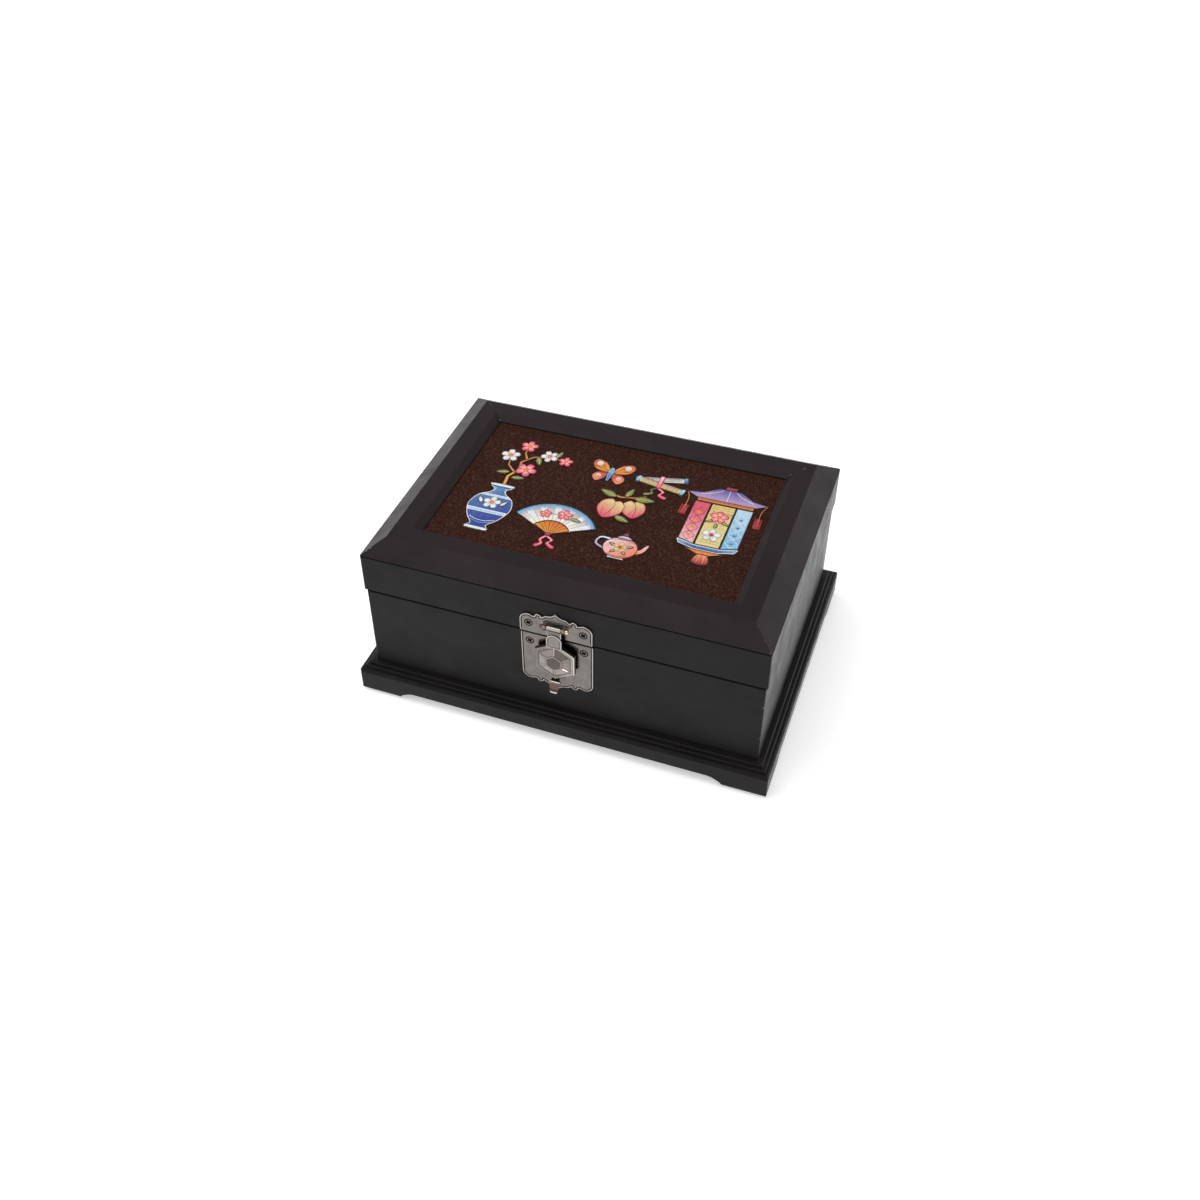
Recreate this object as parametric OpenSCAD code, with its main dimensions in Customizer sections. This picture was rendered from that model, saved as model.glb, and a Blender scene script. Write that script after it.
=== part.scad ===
// Embroidered jewellery box: a painted wooden case on a moulded plinth, with a hinged
// lid whose bevelled frame holds a stretched cloth panel, and a metal hasp in front.
// +X runs along the long side, -Y is the front with the hasp and +Z is up. The origin
// is on the table, under the middle of the box.

/* [Case] */
// Width over the two end boards
case_w = 242; // [220:1:270]
// Depth over the front and back boards
case_d = 172; // [156:1:190]
// Height of the four case boards
board_h = 66; // [60:1:84]
// Thickness of the four case boards
board_t = 9; // [8:0.5:11]
// Rounding of the upright corners
corner_r = 0.8; // [0.4:0.1:1.4]
// Rounding of the long arrises
arris_r = 0.5; // [0.3:0.1:0.8]
// Thickness of the base panel
base_t = 4; // [3:0.5:6]
// Thickness of the velvet on the walls
lining_t = 1.2; // [0.8:0.1:1.6]
// How far the velvet stops below the case's top edge
lining_drop = 2; // [1:0.5:4]
// Thickness of the soft pad on the floor
floor_pad_t = 2.5; // [1.5:0.5:4]

/* [Plinth] */
// How far the plinth stands out from the boards
plinth_out = 8.5; // [7.5:0.5:12]
// Height of the plinth's upright face over the foot's underside
plinth_face_h = 16.2; // [15:0.2:20]
// Height of the stepped moulding over that face
moulding_h = 4.6; // [4:0.2:7]
// Depth to which the boards are let down into the plinth
let_in = 7.6; // [6:0.2:9]
// Width of the ledge inside the boards, which carries the base panel
ledge_w = 5; // [3:0.5:8]
// Height of the cut-out between the feet
foot_h = 6; // [4:0.5:8]
// Length of a foot along its side, at the table
foot_len = 24.5; // [20:0.5:34]
// Rounding of the foot's outer lower edge
foot_round = 2.5; // [1:0.5:3.5]
// Thickness of the felt pads
felt_t = 0.8; // [0.5:0.1:1.5]
// Radius of the felt pads
felt_r = 6; // [4:0.5:8]

/* [Lid] */
// How far the lid stands out over the case on each side
lid_over = 1; // [0.5:0.1:1.5]
// Gap between the case and the closed lid
seam = 0.4; // [0.3:0.1:0.6]
// Height of the lid's four boards
lid_board_h = 25.6; // [22:0.2:34]
// Thickness of the lid's four boards
lid_board_t = 9; // [8:0.5:11]
// Thickness of the bevelled frame on top
frame_t = 9; // [8:0.2:12]
// Upright edge below the bevel
frame_edge = 0.5; // [0.4:0.1:1]
// Width of the bevel, seen from above
bevel_w = 12.6; // [9:0.2:16]
// Width of the frame's flat top
flat_w = 11.4; // [8:0.2:16]
// Width of the sloped lip round the panel
lip_w = 4; // [3:0.2:6]
// Fall of that lip
lip_fall = 3.2; // [2:0.2:4]
// Upright edge at the foot of the lip
lip_edge = 0.9; // [0.6:0.1:1.2]
// Size of the V-groove between the lid boards and the frame
groove = 0.4; // [0.3:0.1:0.6]
// Width of the rebate under the lip that takes the panel
rebate_w = 6; // [4:0.5:8]
// Thickness of the embroidered cloth
cloth_t = 0.6; // [0.4:0.1:0.8]
// Thickness of the board behind the cloth
backing_t = 3.4; // [3:0.1:3.8]
// Play of the panel in its rebate
panel_play = 0.5; // [0.3:0.1:0.8]

/* [Embroidery] */
// Height of the stitches over the cloth
stitch_t = 0.5; // [0.3:0.1:0.7]
// How much higher a patch lies that is stitched over another one
stitch_step = 0.2; // [0.1:0.05:0.3]
// Width over depth of the embroidered picture
picture_ratio = 1.59; // [1.55:0.01:1.59]

/* [Inside of the lid] */
// Thickness of the velvet board behind the mirror
liner_t = 2; // [1.5:0.5:3]
// Velvet margin between the mirror frame and the lining of the boards
mirror_margin = 7; // [5:0.5:12]
// Width of the mirror's frame
mirror_frame_w = 9; // [7:0.5:12]
// Thickness of the mirror's frame
mirror_frame_t = 4.5; // [4:0.1:6]
// Thickness of the mirror glass
glass_t = 3; // [2:0.1:3.2]
// How far the frame laps over the mirror's edge
mirror_lap = 4; // [2:0.5:5]

/* [Tray] */
// Height of the lift-out tray
tray_h = 26; // [22:1:30]
// How far the tray's top lies below the case's top edge
tray_drop = 1.5; // [1:0.5:3]
// Thickness of the tray's sides
tray_t = 4; // [3:0.5:5]
// Thickness of the tray's bottom
tray_base_t = 2.5; // [2:0.5:3]
// Play between the tray and the velvet
tray_play = 0.6; // [0.4:0.1:1]
// Thickness of the dividers
divider_t = 3; // [2:0.5:4]
// How far the dividers stop below the tray's top
divider_drop = 3; // [1:0.5:5]
// Width and height of the strips that carry the tray
strip = 6; // [4:0.5:8]
// Clear width of the long compartment at the right
long_bay_w = 68; // [60:1:76]
// Clear depth of the two small compartments at the front
small_bay_d = 58; // [52:1:64]
// Height of the rolls that grip rings
roll_h = 17; // [15:0.5:18]
// Width of a roll
roll_w = 12; // [11:0.5:15]
// Gap between two rolls
roll_gap = 0.6; // [0.5:0.1:1.2]
// Thickness of the soft pads in the compartments
bay_pad_t = 1.6; // [1:0.2:2.4]
// Width of the ribbon tabs that lift the tray
ribbon_w = 12; // [8:1:16]
// Thickness of the folded ribbon
ribbon_t = 1.2; // [0.8:0.1:1.6]

/* [Hinges] */
// Distance of each hinge's middle from the middle of the box
hinge_x = 75; // [60:1:85]
// Length of a hinge
leaf_len = 38; // [30:1:44]
// Reach of a leaf into the boards
leaf_w = 7.6; // [6:0.2:7.8]
// Thickness of a leaf
leaf_t = 0.9; // [0.7:0.1:1.2]
// Outer radius of the knuckles
knuckle_r = 1.9; // [1.8:0.1:2.2]
// Radius of the hinge pins
pin_r = 1; // [0.8:0.1:1.2]
// Running clearance round a pin
pin_play = 0.05; // [0.03:0.01:0.08]
// Gap between knuckles, and from the knuckles to the lid
knuckle_gap = 0.3; // [0.2:0.05:0.4]
// Length of the heels behind the knuckles that stop the lid
heel_len = 3; // [2:0.2:3.2]
// Angle at which the heels meet and stop the lid
lid_stop = 95; // [90:1:105]

/* [Hasp] */
// Width of the two plates
clasp_w = 44; // [38:1:50]
// Thickness of the plates
plate_t = 1; // [0.8:0.1:1.2]
// Height of the upper plate's straight edge
upper_edge_h = 8.6; // [8:0.2:9.4]
// Height of the lower plate's straight edge
lower_edge_h = 32.7; // [30:0.2:36]
// Distance of the plate screws from the seam
plate_screw_z = 7.2; // [6:0.2:8]
// Distance of the plate screws from the middle
plate_screw_x = 16.5; // [15.5:0.1:17.5]
// Height of the hasp's pin over the lid's lower edge
hasp_pin_z = 9.2; // [8.6:0.1:9.8]
// Radius of the hasp's knuckle
hasp_knuckle_r = 1.8; // [1.7:0.1:1.9]
// Length of the hasp's knuckle
hasp_knuckle_len = 8.6; // [8:0.1:10]
// Gap between the hasp's knuckle and the upper plate
hasp_gap = 0.6; // [0.5:0.1:0.8]
// Thickness of the ears that hold the pin
ear_t = 2.4; // [2:0.1:3]
// Distance from the pin down to the middle of the six-sided shell
shell_drop = 25.3; // [24:0.1:27]
// Radius of the shell over its corners
shell_r = 14; // [13:0.1:15]
// Depth of the shell
shell_t = 4; // [3.6:0.1:4.2]
// Thickness of the hasp's metal
hasp_wall = 1.4; // [1.2:0.1:1.6]
// Half width of the hasp's neck
neck_r = 4.9; // [4.5:0.1:5.2]
// How far the lifting tab leans forwards
tab_lean = 1.5; // [1:0.1:2]
// Radius of the magnet in the shell
magnet_r = 4.5; // [4:0.1:6]
// Radius of the steel disc that the magnet meets
strike_r = 5.5; // [5:0.1:6.5]
// Thickness of that disc
strike_t = 1.3; // [1:0.1:1.4]
// Gap between the magnet and the disc
magnet_gap = 0.4; // [0.3:0.1:0.5]

/* [Screws] */
// Radius of the plate screws' heads
plate_head_r = 2.5; // [2.2:0.1:2.8]
// Radius of the plate screws' shanks
plate_shank_r = 1.2; // [1:0.1:1.4]
// Length of the plate screws in the wood
plate_screw_len = 6.5; // [5:0.5:7]
// Radius of the hinge screws' heads
leaf_head_r = 1.6; // [1.4:0.1:1.8]
// Radius of the hinge screws' shanks
leaf_shank_r = 0.8; // [0.6:0.1:0.9]
// Length of the hinge screws in the wood
leaf_screw_len = 8; // [6:0.5:10]
// Clearance of each screw in its hole
screw_play = 0.05; // [0.03:0.01:0.1]

/* [Hidden] */
// How far a cut runs past the face that it opens
over = 1;
arc_steps = 5;
round_fn = 48;

SIDES = ["front", "right", "back", "left"];

foot_z = felt_t;
apron_z = foot_z + foot_h;
arris_z = foot_z + plinth_face_h;
plinth_top_z = arris_z + moulding_h;
seat_z = plinth_top_z - let_in;
case_top_z = seat_z + board_h;
base_top_z = seat_z + base_t;
plinth_in = board_t + ledge_w;

lid_z = case_top_z + seam;
lid_w = case_w + 2 * lid_over;
lid_d = case_d + 2 * lid_over;
joint_z = lid_z + lid_board_h;
lid_top_z = joint_z + frame_t;
cloth_z = lid_top_z - lip_fall - lip_edge;
frame_w = bevel_w + flat_w + lip_w;
opening_w = lid_w - 2 * frame_w;
opening_d = lid_d - 2 * frame_w;
picture_d = min(opening_d, opening_w / picture_ratio);
panel_w = opening_w + 2 * (rebate_w - panel_play);
panel_d = opening_d + 2 * (rebate_w - panel_play);

hollow_w = case_w - 2 * board_t;
hollow_d = case_d - 2 * board_t;
lined_w = hollow_w - 2 * lining_t;
lined_d = hollow_d - 2 * lining_t;
lid_hollow_w = lid_w - 2 * lid_board_t;
lid_hollow_d = lid_d - 2 * lid_board_t;
lid_lined_w = lid_hollow_w - 2 * lining_t;
lid_lined_d = lid_hollow_d - 2 * lining_t;
liner_z = joint_z - liner_t;
mirror_frame_z = liner_z - mirror_frame_t;
mirror_frame_out_w = lid_lined_w - 2 * mirror_margin;
mirror_frame_out_d = lid_lined_d - 2 * mirror_margin;
mirror_w = mirror_frame_out_w - 2 * (mirror_frame_w - mirror_lap);
mirror_d = mirror_frame_out_d - 2 * (mirror_frame_w - mirror_lap);

tray_w = lined_w - 2 * tray_play;
tray_d = lined_d - 2 * tray_play;
tray_top_z = case_top_z - tray_drop;
tray_z = tray_top_z - tray_h;
tray_floor_z = tray_z + tray_base_t;
bay_w = tray_w - 2 * tray_t;
bay_d = tray_d - 2 * tray_t;
divider_h = tray_h - tray_base_t - divider_drop;
long_divider_x = bay_w / 2 - long_bay_w - divider_t / 2;
left_bay_w = bay_w - long_bay_w - divider_t;
left_bay_x = -bay_w / 2 + left_bay_w / 2;
small_divider_y = -bay_d / 2 + small_bay_d + divider_t / 2;
roll_bay_d = bay_d - small_bay_d - divider_t;
roll_count = floor((roll_bay_d - roll_gap) / (roll_w + roll_gap));
roll_pitch = roll_bay_d / roll_count;

hinge_y = lid_d / 2 + knuckle_gap + knuckle_r;
hinge_z = case_top_z + seam / 2;
knuckle_count = 5;
knuckle_len = leaf_len / knuckle_count;
screw_row_y = case_d / 2 - leaf_w / 2;
screw_row_x = leaf_len / 3;
// What is left between the heels at the stop, and the angle between them there.
heel_play = knuckle_gap / 6;
heel_meet = 2 * asin((leaf_t / 2 + heel_play) / (knuckle_r + knuckle_gap));
heel_up = lid_stop + heel_meet - 90;

lid_face_y = -lid_d / 2;
case_face_y = -case_d / 2;
half_plate = clasp_w / 2;
hasp_y = lid_face_y - plate_t - hasp_gap - hasp_knuckle_r;
hasp_z = lid_z + hasp_pin_z;
shell_z = hasp_z - shell_drop;
strike_y = case_face_y - plate_t - strike_t;
magnet_y = strike_y - magnet_gap;
magnet_proud = hasp_wall / 7;
shell_back_y = magnet_y - magnet_proud;
shell_front_y = shell_back_y - shell_t;
shell_chamfer = shell_t / 4;
// Depth of the shell's hollow, with the overrun behind its back.
magnet_seat = shell_t - hasp_wall - shell_chamfer / 2 + over;
ear_x = hasp_knuckle_len / 2 + knuckle_gap + ear_t / 2;
pin_head_x = ear_x + ear_t / 2 + pin_play;

// The scalloped edge of a plate, from its straight side to its point: centre across,
// centre up and radius of each arc as shares of half the plate's width, then the
// angles at which the arc starts and ends.
scallop_shares = [
    [0.764, 0.000, 0.236, 0, 125],
    [0.486, 0.200, 0.095, 0, 170],
    [0.245, 0.209, 0.091, 30, 100],
    [0.236, 0.564, 0.264, -96, -152],
];
// Steps of the moulding, from the boards outwards: how far out each step ends and how
// high it lies, as shares of the plinth's projection and of the moulding's height.
step_shares = [[0.42, 1.0], [0.70, 0.62], [0.955, 0.30]];
step_round_share = 0.09;
quirk_share = 0.06;
// The middle of the turtle-shell pattern, as a share of the shell's radius.
inner_shell_share = 0.47;
// The lifting tab: half width at its top and its end, and how far below the shell's
// middle these lie, as shares of the shell's radius.
tab_shares = [0.25, 0.14, 0.80, 1.60];

// The embroidered picture. Each motif has a place and a size as shares of the depth of
// the lid's opening, and outlines as shares of the motif's size.
petal_shares = [[0.05, 0.00], [0.50, 0.30], [0.88, 0.27], [1.00, 0.00], [0.88, -0.27], [0.50, -0.30]];
leaf_shares = [[0.00, 0.00], [0.30, 0.20], [0.65, 0.18], [1.00, 0.00], [0.65, -0.18], [0.30, -0.20]];
heart_share = 0.24;
smooth_steps = 3;

paint = [0.16, 0.13, 0.12];
frame_paint = [0.20, 0.15, 0.14];
gunmetal = [0.55, 0.52, 0.50];
brass = [0.72, 0.58, 0.32];
velvet = [0.42, 0.07, 0.12];
dark_cloth = [0.24, 0.13, 0.10];
white = [0.93, 0.91, 0.87];
pink = [0.88, 0.36, 0.47];
blue = [0.17, 0.26, 0.62];
olive = [0.58, 0.60, 0.29];
gold = [0.91, 0.63, 0.19];
sky = [0.47, 0.73, 0.86];
crimson = [0.59, 0.10, 0.18];
lilac = [0.69, 0.59, 0.75];
cream = [0.88, 0.83, 0.59];
salmon = [0.91, 0.55, 0.43];

function turn_of(side) = 90 * search([side], SIDES)[0];

function is_long(side) = side == "front" || side == "back";

function arc_points(x, y, r, from, to, steps = arc_steps) =
    [for (i = [0:steps]) let (a = from + (to - from) * i / steps) [x + r * cos(a), y + r * sin(a)]];

function reversed(points) = [for (i = [len(points) - 1:-1:0]) points[i]];

function mirrored(points) = [for (p = reversed(points)) [-p[0], p[1]]];

// A rectangle about the origin with rounded corners.
function rounded_rect(w, d, r) = concat(
    arc_points(w / 2 - r, -d / 2 + r, r, -90, 0), arc_points(w / 2 - r, d / 2 - r, r, 0, 90),
    arc_points(-w / 2 + r, d / 2 - r, r, 90, 180), arc_points(-w / 2 + r, -d / 2 + r, r, 180, 270));

// One of four mitred sticks round a rectangle of w by d. Its child is the section:
// x is the distance out from the rectangle's side, and y is the height.
module stick(side, w, d, out, inn, low, high, corner) {
    long = is_long(side) ? w : d;
    deep = is_long(side) ? d : w;
    rotate(turn_of(side)) intersection() {
        rotate([90, 0, -90]) linear_extrude(long + 2 * out, center = true)
            translate([deep / 2, 0]) children();
        translate([0, 0, low]) linear_extrude(high - low) polygon([
            [-long / 2 - out, -deep / 2 - out], [long / 2 + out, -deep / 2 - out],
            [long / 2 - inn, -deep / 2 + inn], [-long / 2 + inn, -deep / 2 + inn]]);
        translate([0, 0, low]) linear_extrude(high - low)
            polygon(rounded_rect(long + 2 * out, deep + 2 * out, corner));
    }
}

// A block on the table's plane: w by d about the middle, from low to high.
module block(w, d, low, high, x = 0, y = 0) {
    translate([x - w / 2, y - d / 2, low]) cube([w, d, high - low]);
}

// A hollow ring of walls t thick, w by d outside, from low to high.
module ring_wall(w, d, t, low, high) {
    difference() {
        block(w, d, low, high);
        block(w - 2 * t, d - 2 * t, low - over, high + over);
    }
}

// A flat shape drawn in x and z, given its thickness forwards from the plane at y.
module front_plate(y, t) {
    translate([0, y, 0]) rotate([90, 0, 0]) linear_extrude(t) children();
}

// A round bar along x, centred at x.
module cross_bar(x, y, z, r, length) {
    translate([x, y, z]) rotate([0, 90, 0]) cylinder(h = length, r = r, center = true, $fn = round_fn);
}

// A round bar forwards from the plane at y.
module forward_bar(x, y, z, r, length, tip_r) {
    translate([x, y, z]) rotate([90, 0, 0]) cylinder(h = length, r1 = r, r2 = tip_r, $fn = round_fn);
}

// A countersunk screw with its head's face at the origin, pointing down.
module screw(head_r, shank_r, head_t, length) {
    slot_w = head_r / 3;
    slot_len = 1.3 * head_r;
    difference() {
        union() {
            translate([0, 0, -head_t]) cylinder(h = head_t, r1 = shank_r, r2 = head_r, $fn = round_fn);
            translate([0, 0, -head_t - length]) cylinder(h = length + head_t / 2, r = shank_r, $fn = round_fn);
        }
        for (turn = [0, 90]) rotate(turn)
            block(slot_len, slot_w, -head_t / 2, over);
    }
}

// The hole for that screw: the countersink, and the pilot hole below it.
module screw_hole(head_r, shank_r, head_t, length) {
    cylinder(h = over, r = head_r + screw_play, $fn = round_fn);
    translate([0, 0, -head_t]) cylinder(h = head_t, r1 = shank_r + screw_play,
        r2 = head_r + screw_play, $fn = round_fn);
    translate([0, 0, -head_t - length - screw_play]) cylinder(h = length + head_t, r = shank_r + screw_play,
        $fn = round_fn);
}

// Children at each plate screw of the upper or the lower plate, pointing inwards.
module at_plate_screws(y, z) {
    for (x = [-plate_screw_x, plate_screw_x]) translate([x, y - plate_t, z]) rotate([90, 0, 0]) children();
}

// Children at each hinge screw of both hinges, on the plane at z.
module at_leaf_screws(z) {
    for (x = [-hinge_x, hinge_x], i = [-1:1]) translate([x + i * screw_row_x, screw_row_y, z]) children();
}

module plinth_section() {
    step_r = step_round_share * plinth_out;
    quirk = quirk_share * plinth_out;
    nose_z = arris_z + quirk;
    steps = [for (s = step_shares) [s[0] * plinth_out, arris_z + s[1] * moulding_h]];
    polygon(concat(
        [[-plinth_in, foot_z], [-plinth_in, seat_z], [0, seat_z], [0, steps[0][1]]],
        [for (i = [0:len(steps) - 1]) let (next_z = i < len(steps) - 1 ? steps[i + 1][1] : nose_z)
            each concat(arc_points(steps[i][0] - step_r, steps[i][1] - step_r, step_r, 90, 0),
                [[steps[i][0], next_z]])],
        [[plinth_out, nose_z], [plinth_out, arris_z], [plinth_out - quirk, arris_z - quirk],
         [plinth_out, arris_z - 2 * quirk]],
        arc_points(plinth_out - foot_round, foot_z + foot_round, foot_round, 0, -90)));
}

// The cut-out between two feet: a gentle curve falls from the apron, and a tighter
// one turns it into the foot.
module apron_cut(length) {
    toe_x = length / 2 + plinth_out - foot_len;
    toe_r = 0.45 * foot_h;
    half = [[toe_x, foot_z - over], [toe_x, foot_z]];
    toe = reversed(arc_points(toe_x, foot_z + toe_r, toe_r, 180, 270));
    slope_w = 1.5 * foot_h;
    slope_h = foot_h - toe_r;
    slope_x = toe_x - toe_r;
    slope = [for (i = [1:arc_steps]) let (t = i / arc_steps)
        [slope_x - slope_w * t, foot_z + toe_r + slope_h * sin(90 * t)]];
    side = concat(half, toe, slope);
    polygon(concat(side, mirrored(side)));
}

module plinth_stick(side) {
    length = is_long(side) ? case_w : case_d;
    deep = is_long(side) ? case_d : case_w;
    color(paint) difference() {
        stick(side, case_w, case_d, plinth_out, plinth_in, foot_z, plinth_top_z, corner_r) plinth_section();
        rotate(turn_of(side)) front_plate(-deep / 2 + plinth_in + over, plinth_in + plinth_out + 2 * over)
            apron_cut(length);
    }
}

module foot_pads() {
    reach = (plinth_in - plinth_out) / 2;
    color("dimgray") for (x = [-1, 1], y = [-1, 1])
        translate([x * (case_w / 2 - reach), y * (case_d / 2 - reach), 0]) cylinder(h = felt_t, r = felt_r,
            $fn = round_fn);
}

module board_section(t, low, high, top_r) {
    polygon(concat([[-t, low], [0, low]], arc_points(-top_r, high - top_r, top_r, 0, 90),
        [[-t, high]]));
}

// One case board. The mortises for the hinges are in the back board's top edge, and
// the pilot holes of the catch plate are in the front board.
module case_board(side) {
    color(paint) difference() {
        stick(side, case_w, case_d, 0, board_t, seat_z, case_top_z, corner_r)
            board_section(board_t, seat_z, case_top_z, arris_r);
        if (side == "back") {
            for (x = [-hinge_x, hinge_x]) translate([x, 0, 0])
                block(leaf_len + 2 * screw_play, leaf_w + 2 * screw_play + over, case_top_z - leaf_t,
                    case_top_z + over, 0, case_d / 2 - leaf_w / 2 + over / 2);
            at_leaf_screws(case_top_z) screw_hole(leaf_head_r, leaf_shank_r, leaf_t, leaf_screw_len);
        }
        if (side == "front")
            at_plate_screws(case_face_y, case_top_z - plate_screw_z)
                screw_hole(plate_head_r, plate_shank_r, plate_t, plate_screw_len);
    }
}

module base_panel() {
    color("burlywood") block(hollow_w, hollow_d, seat_z, base_top_z);
}

module wall_lining() {
    color(velvet) ring_wall(hollow_w, hollow_d, lining_t, base_top_z, case_top_z - lining_drop);
}

module floor_pad() {
    color(velvet) block(lined_w - 2 * tray_play, lined_d - 2 * tray_play, base_top_z,
        base_top_z + floor_pad_t);
}

module tray_strips() {
    color(paint) for (x = [-1, 1]) block(strip, lined_d - 2 * tray_play, tray_z - strip, tray_z,
        x * (lined_w / 2 - strip / 2));
}

module tray_side(side) {
    color(velvet) stick(side, tray_w, tray_d, 0, tray_t, tray_z, tray_top_z, corner_r)
        board_section(tray_t, tray_z, tray_top_z, arris_r);
}

module tray_bottom() {
    color(velvet) block(bay_w, bay_d, tray_z, tray_floor_z);
}

module tray_long_divider() {
    color(velvet) block(divider_t, bay_d, tray_floor_z, tray_floor_z + divider_h, long_divider_x);
}

// The divider between the rolls and the small compartments, and the one between those.
module tray_small_dividers() {
    color(velvet) union() {
        block(left_bay_w, divider_t, tray_floor_z, tray_floor_z + divider_h, left_bay_x, small_divider_y);
        block(divider_t, small_bay_d, tray_floor_z, tray_floor_z + divider_h, left_bay_x,
            -bay_d / 2 + small_bay_d / 2);
    }
}

module bay_pads() {
    small_w = (left_bay_w - divider_t) / 2;
    small_y = -bay_d / 2 + small_bay_d / 2;
    play = 2 * tray_play;
    color(velvet) {
        block(long_bay_w - play, bay_d - play, tray_floor_z, tray_floor_z + bay_pad_t,
            bay_w / 2 - long_bay_w / 2);
        for (i = [-1, 1]) block(small_w - play, small_bay_d - play, tray_floor_z, tray_floor_z + bay_pad_t,
            left_bay_x + i * (small_w + divider_t) / 2, small_y);
    }
}

// Padded rolls that lie along x, flat below and round above, with a crowned top that
// draws in at both ends.
module ring_rolls() {
    r = (roll_pitch - roll_gap) / 2;
    length = left_bay_w - 2 * tray_play;
    low_y = small_divider_y + divider_t / 2;
    color(velvet) for (i = [0:roll_count - 1])
        translate([left_bay_x, low_y + roll_pitch * (i + 1 / 2), 0]) union() {
            cross_bar(0, 0, tray_floor_z + roll_h - r, r, length);
            block(length, 2 * r, tray_floor_z, tray_floor_z + roll_h - r);
        }
}

// Ribbon tabs inside the tray's ends, to lift it by.
module tray_pull_tabs() {
    tab_h = divider_h / 2;
    color("goldenrod") for (x = [-1, 1]) block(ribbon_t, ribbon_w, tray_top_z - tab_h,
        tray_top_z + tray_drop / 3, x * (bay_w / 2 - ribbon_t / 2), small_divider_y - small_bay_d / 2);
}

// One lid board, with the mortises in the back one's lower edge.
module lid_board(side) {
    color(paint) difference() {
        stick(side, lid_w, lid_d, 0, lid_board_t, lid_z, joint_z, corner_r)
            polygon([[-lid_board_t, lid_z], [-groove, lid_z], [0, lid_z + groove], [0, joint_z - groove],
                [-groove, joint_z], [-lid_board_t, joint_z]]);
        if (side == "back") {
            for (x = [-hinge_x, hinge_x]) translate([x, 0, 0])
                block(leaf_len + 2 * screw_play, leaf_w + 2 * screw_play + over + lid_over, lid_z - over,
                    lid_z + leaf_t, 0, case_d / 2 - leaf_w / 2 + (over + lid_over) / 2);
            at_leaf_screws(lid_z) mirror([0, 0, 1])
                screw_hole(leaf_head_r, leaf_shank_r, leaf_t, leaf_screw_len);
        }
        if (side == "front")
            at_plate_screws(lid_face_y, lid_z + plate_screw_z)
                screw_hole(plate_head_r, plate_shank_r, plate_t, plate_screw_len);
    }
}

module frame_section() {
    bevel_low = joint_z + frame_edge;
    slope = atan2(lid_top_z - bevel_low, bevel_w);
    lip_x = -bevel_w - flat_w;
    polygon(concat(
        [[-groove, joint_z], [0, joint_z + groove], [0, bevel_low]],
        arc_points(-bevel_w - arris_r * tan(slope / 2), lid_top_z - arris_r, arris_r, 90 - slope, 90),
        arc_points(lip_x + arris_r, lid_top_z - arris_r, arris_r, 90, 130),
        [[-frame_w, cloth_z + lip_edge], [-frame_w, cloth_z], [-frame_w + rebate_w, cloth_z],
         [-frame_w + rebate_w, joint_z]]));
}

module frame_rail(side) {
    color(frame_paint) stick(side, lid_w, lid_d, 0, frame_w, joint_z, lid_top_z, corner_r) frame_section();
}

module embroidered_cloth() {
    color(dark_cloth) block(panel_w, panel_d, cloth_z - cloth_t, cloth_z);
}

// A closed curve through the points.
function smooth(points) = let (n = len(points)) [for (i = [0:n - 1])
    let (a = points[(i + n - 1) % n], b = points[i], c = points[(i + 1) % n], d = points[(i + 2) % n])
    for (j = [0:smooth_steps - 1]) let (t = j / smooth_steps)
        (2 * b + (c - a) * t + (2 * a - 5 * b + 4 * c - d) * t * t + (3 * b - a - 3 * c + d) * t * t * t) / 2];

function both(half) = concat(half, mirrored(half));

function placed(points, x, y, turn, size = 1) =
    [for (p = points) [x + size * (cos(turn) * p[0] - sin(turn) * p[1]),
        y + size * (sin(turn) * p[0] + cos(turn) * p[1])]];

// A ribbon along a path, from width w0 to width w1.
function strip(path, w0, w1) =
    let (last = len(path) - 1,
        away = [for (i = [0:last]) let (way = path[min(i + 1, last)] - path[max(i - 1, 0)],
            w = w0 + (w1 - w0) * i / last) [-way[1], way[0]] * w / (2 * norm(way))])
    concat([for (i = [0:last]) path[i] - away[i]], [for (i = [last:-1:0]) path[i] + away[i]]);

// A patch of stitches has a colour, a level, and an outline.
function panel(tint, level, points) = [tint, level, points];

function blob(tint, level, points) = [tint, level, smooth(points)];

function leaf(x, y, length, turn, level = 1) = blob(olive, level, placed(leaf_shares, x, y, turn, length));

function disc(tint, level, x, y, r) = [tint, level, arc_points(x, y, r, 0, 330, 11)];

function flower(tint, x, y, r, turn, level = 1) = concat(
    [for (i = [0:4]) blob(tint, level, placed(petal_shares, x, y, turn + 72 * i, r))],
    [disc(gold, level + 1, x, y, heart_share * r)]);

// One motif, with its place and size in shares of the picture's depth, and its patches in shares of its size.
module stitched(x_share, y_share, size_share, patches) {
    size = size_share * picture_d;
    translate([x_share * picture_d, y_share * picture_d, cloth_z]) for (p = patches)
        color(p[0]) linear_extrude(stitch_t + p[1] * stitch_step) polygon(size * p[2]);
}

module stitched_vase() {
    stitched(-0.56, -0.19, 0.42, concat([
        blob(blue, 0, both([[0.13, -0.46], [0.10, -0.40], [0.20, -0.26], [0.27, -0.06], [0.22, 0.13],
            [0.10, 0.23], [0.08, 0.31], [0.13, 0.37]])),
        blob(white, 1, both([[0.12, -0.50], [0.15, -0.475], [0.12, -0.45]])),
        blob(white, 1, both([[0.12, 0.36], [0.16, 0.385], [0.12, 0.41]])),
        panel(sky, 1, both([[0.235, -0.17], [0.255, -0.12]])),
        panel(sky, 1, both([[0.195, 0.15], [0.165, 0.18]])),
        leaf(0.12, -0.01, 0.12, 60, 2), leaf(-0.12, -0.01, 0.12, 120, 2)],
        flower(white, 0, 0.03, 0.11, 90)));
}

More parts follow.
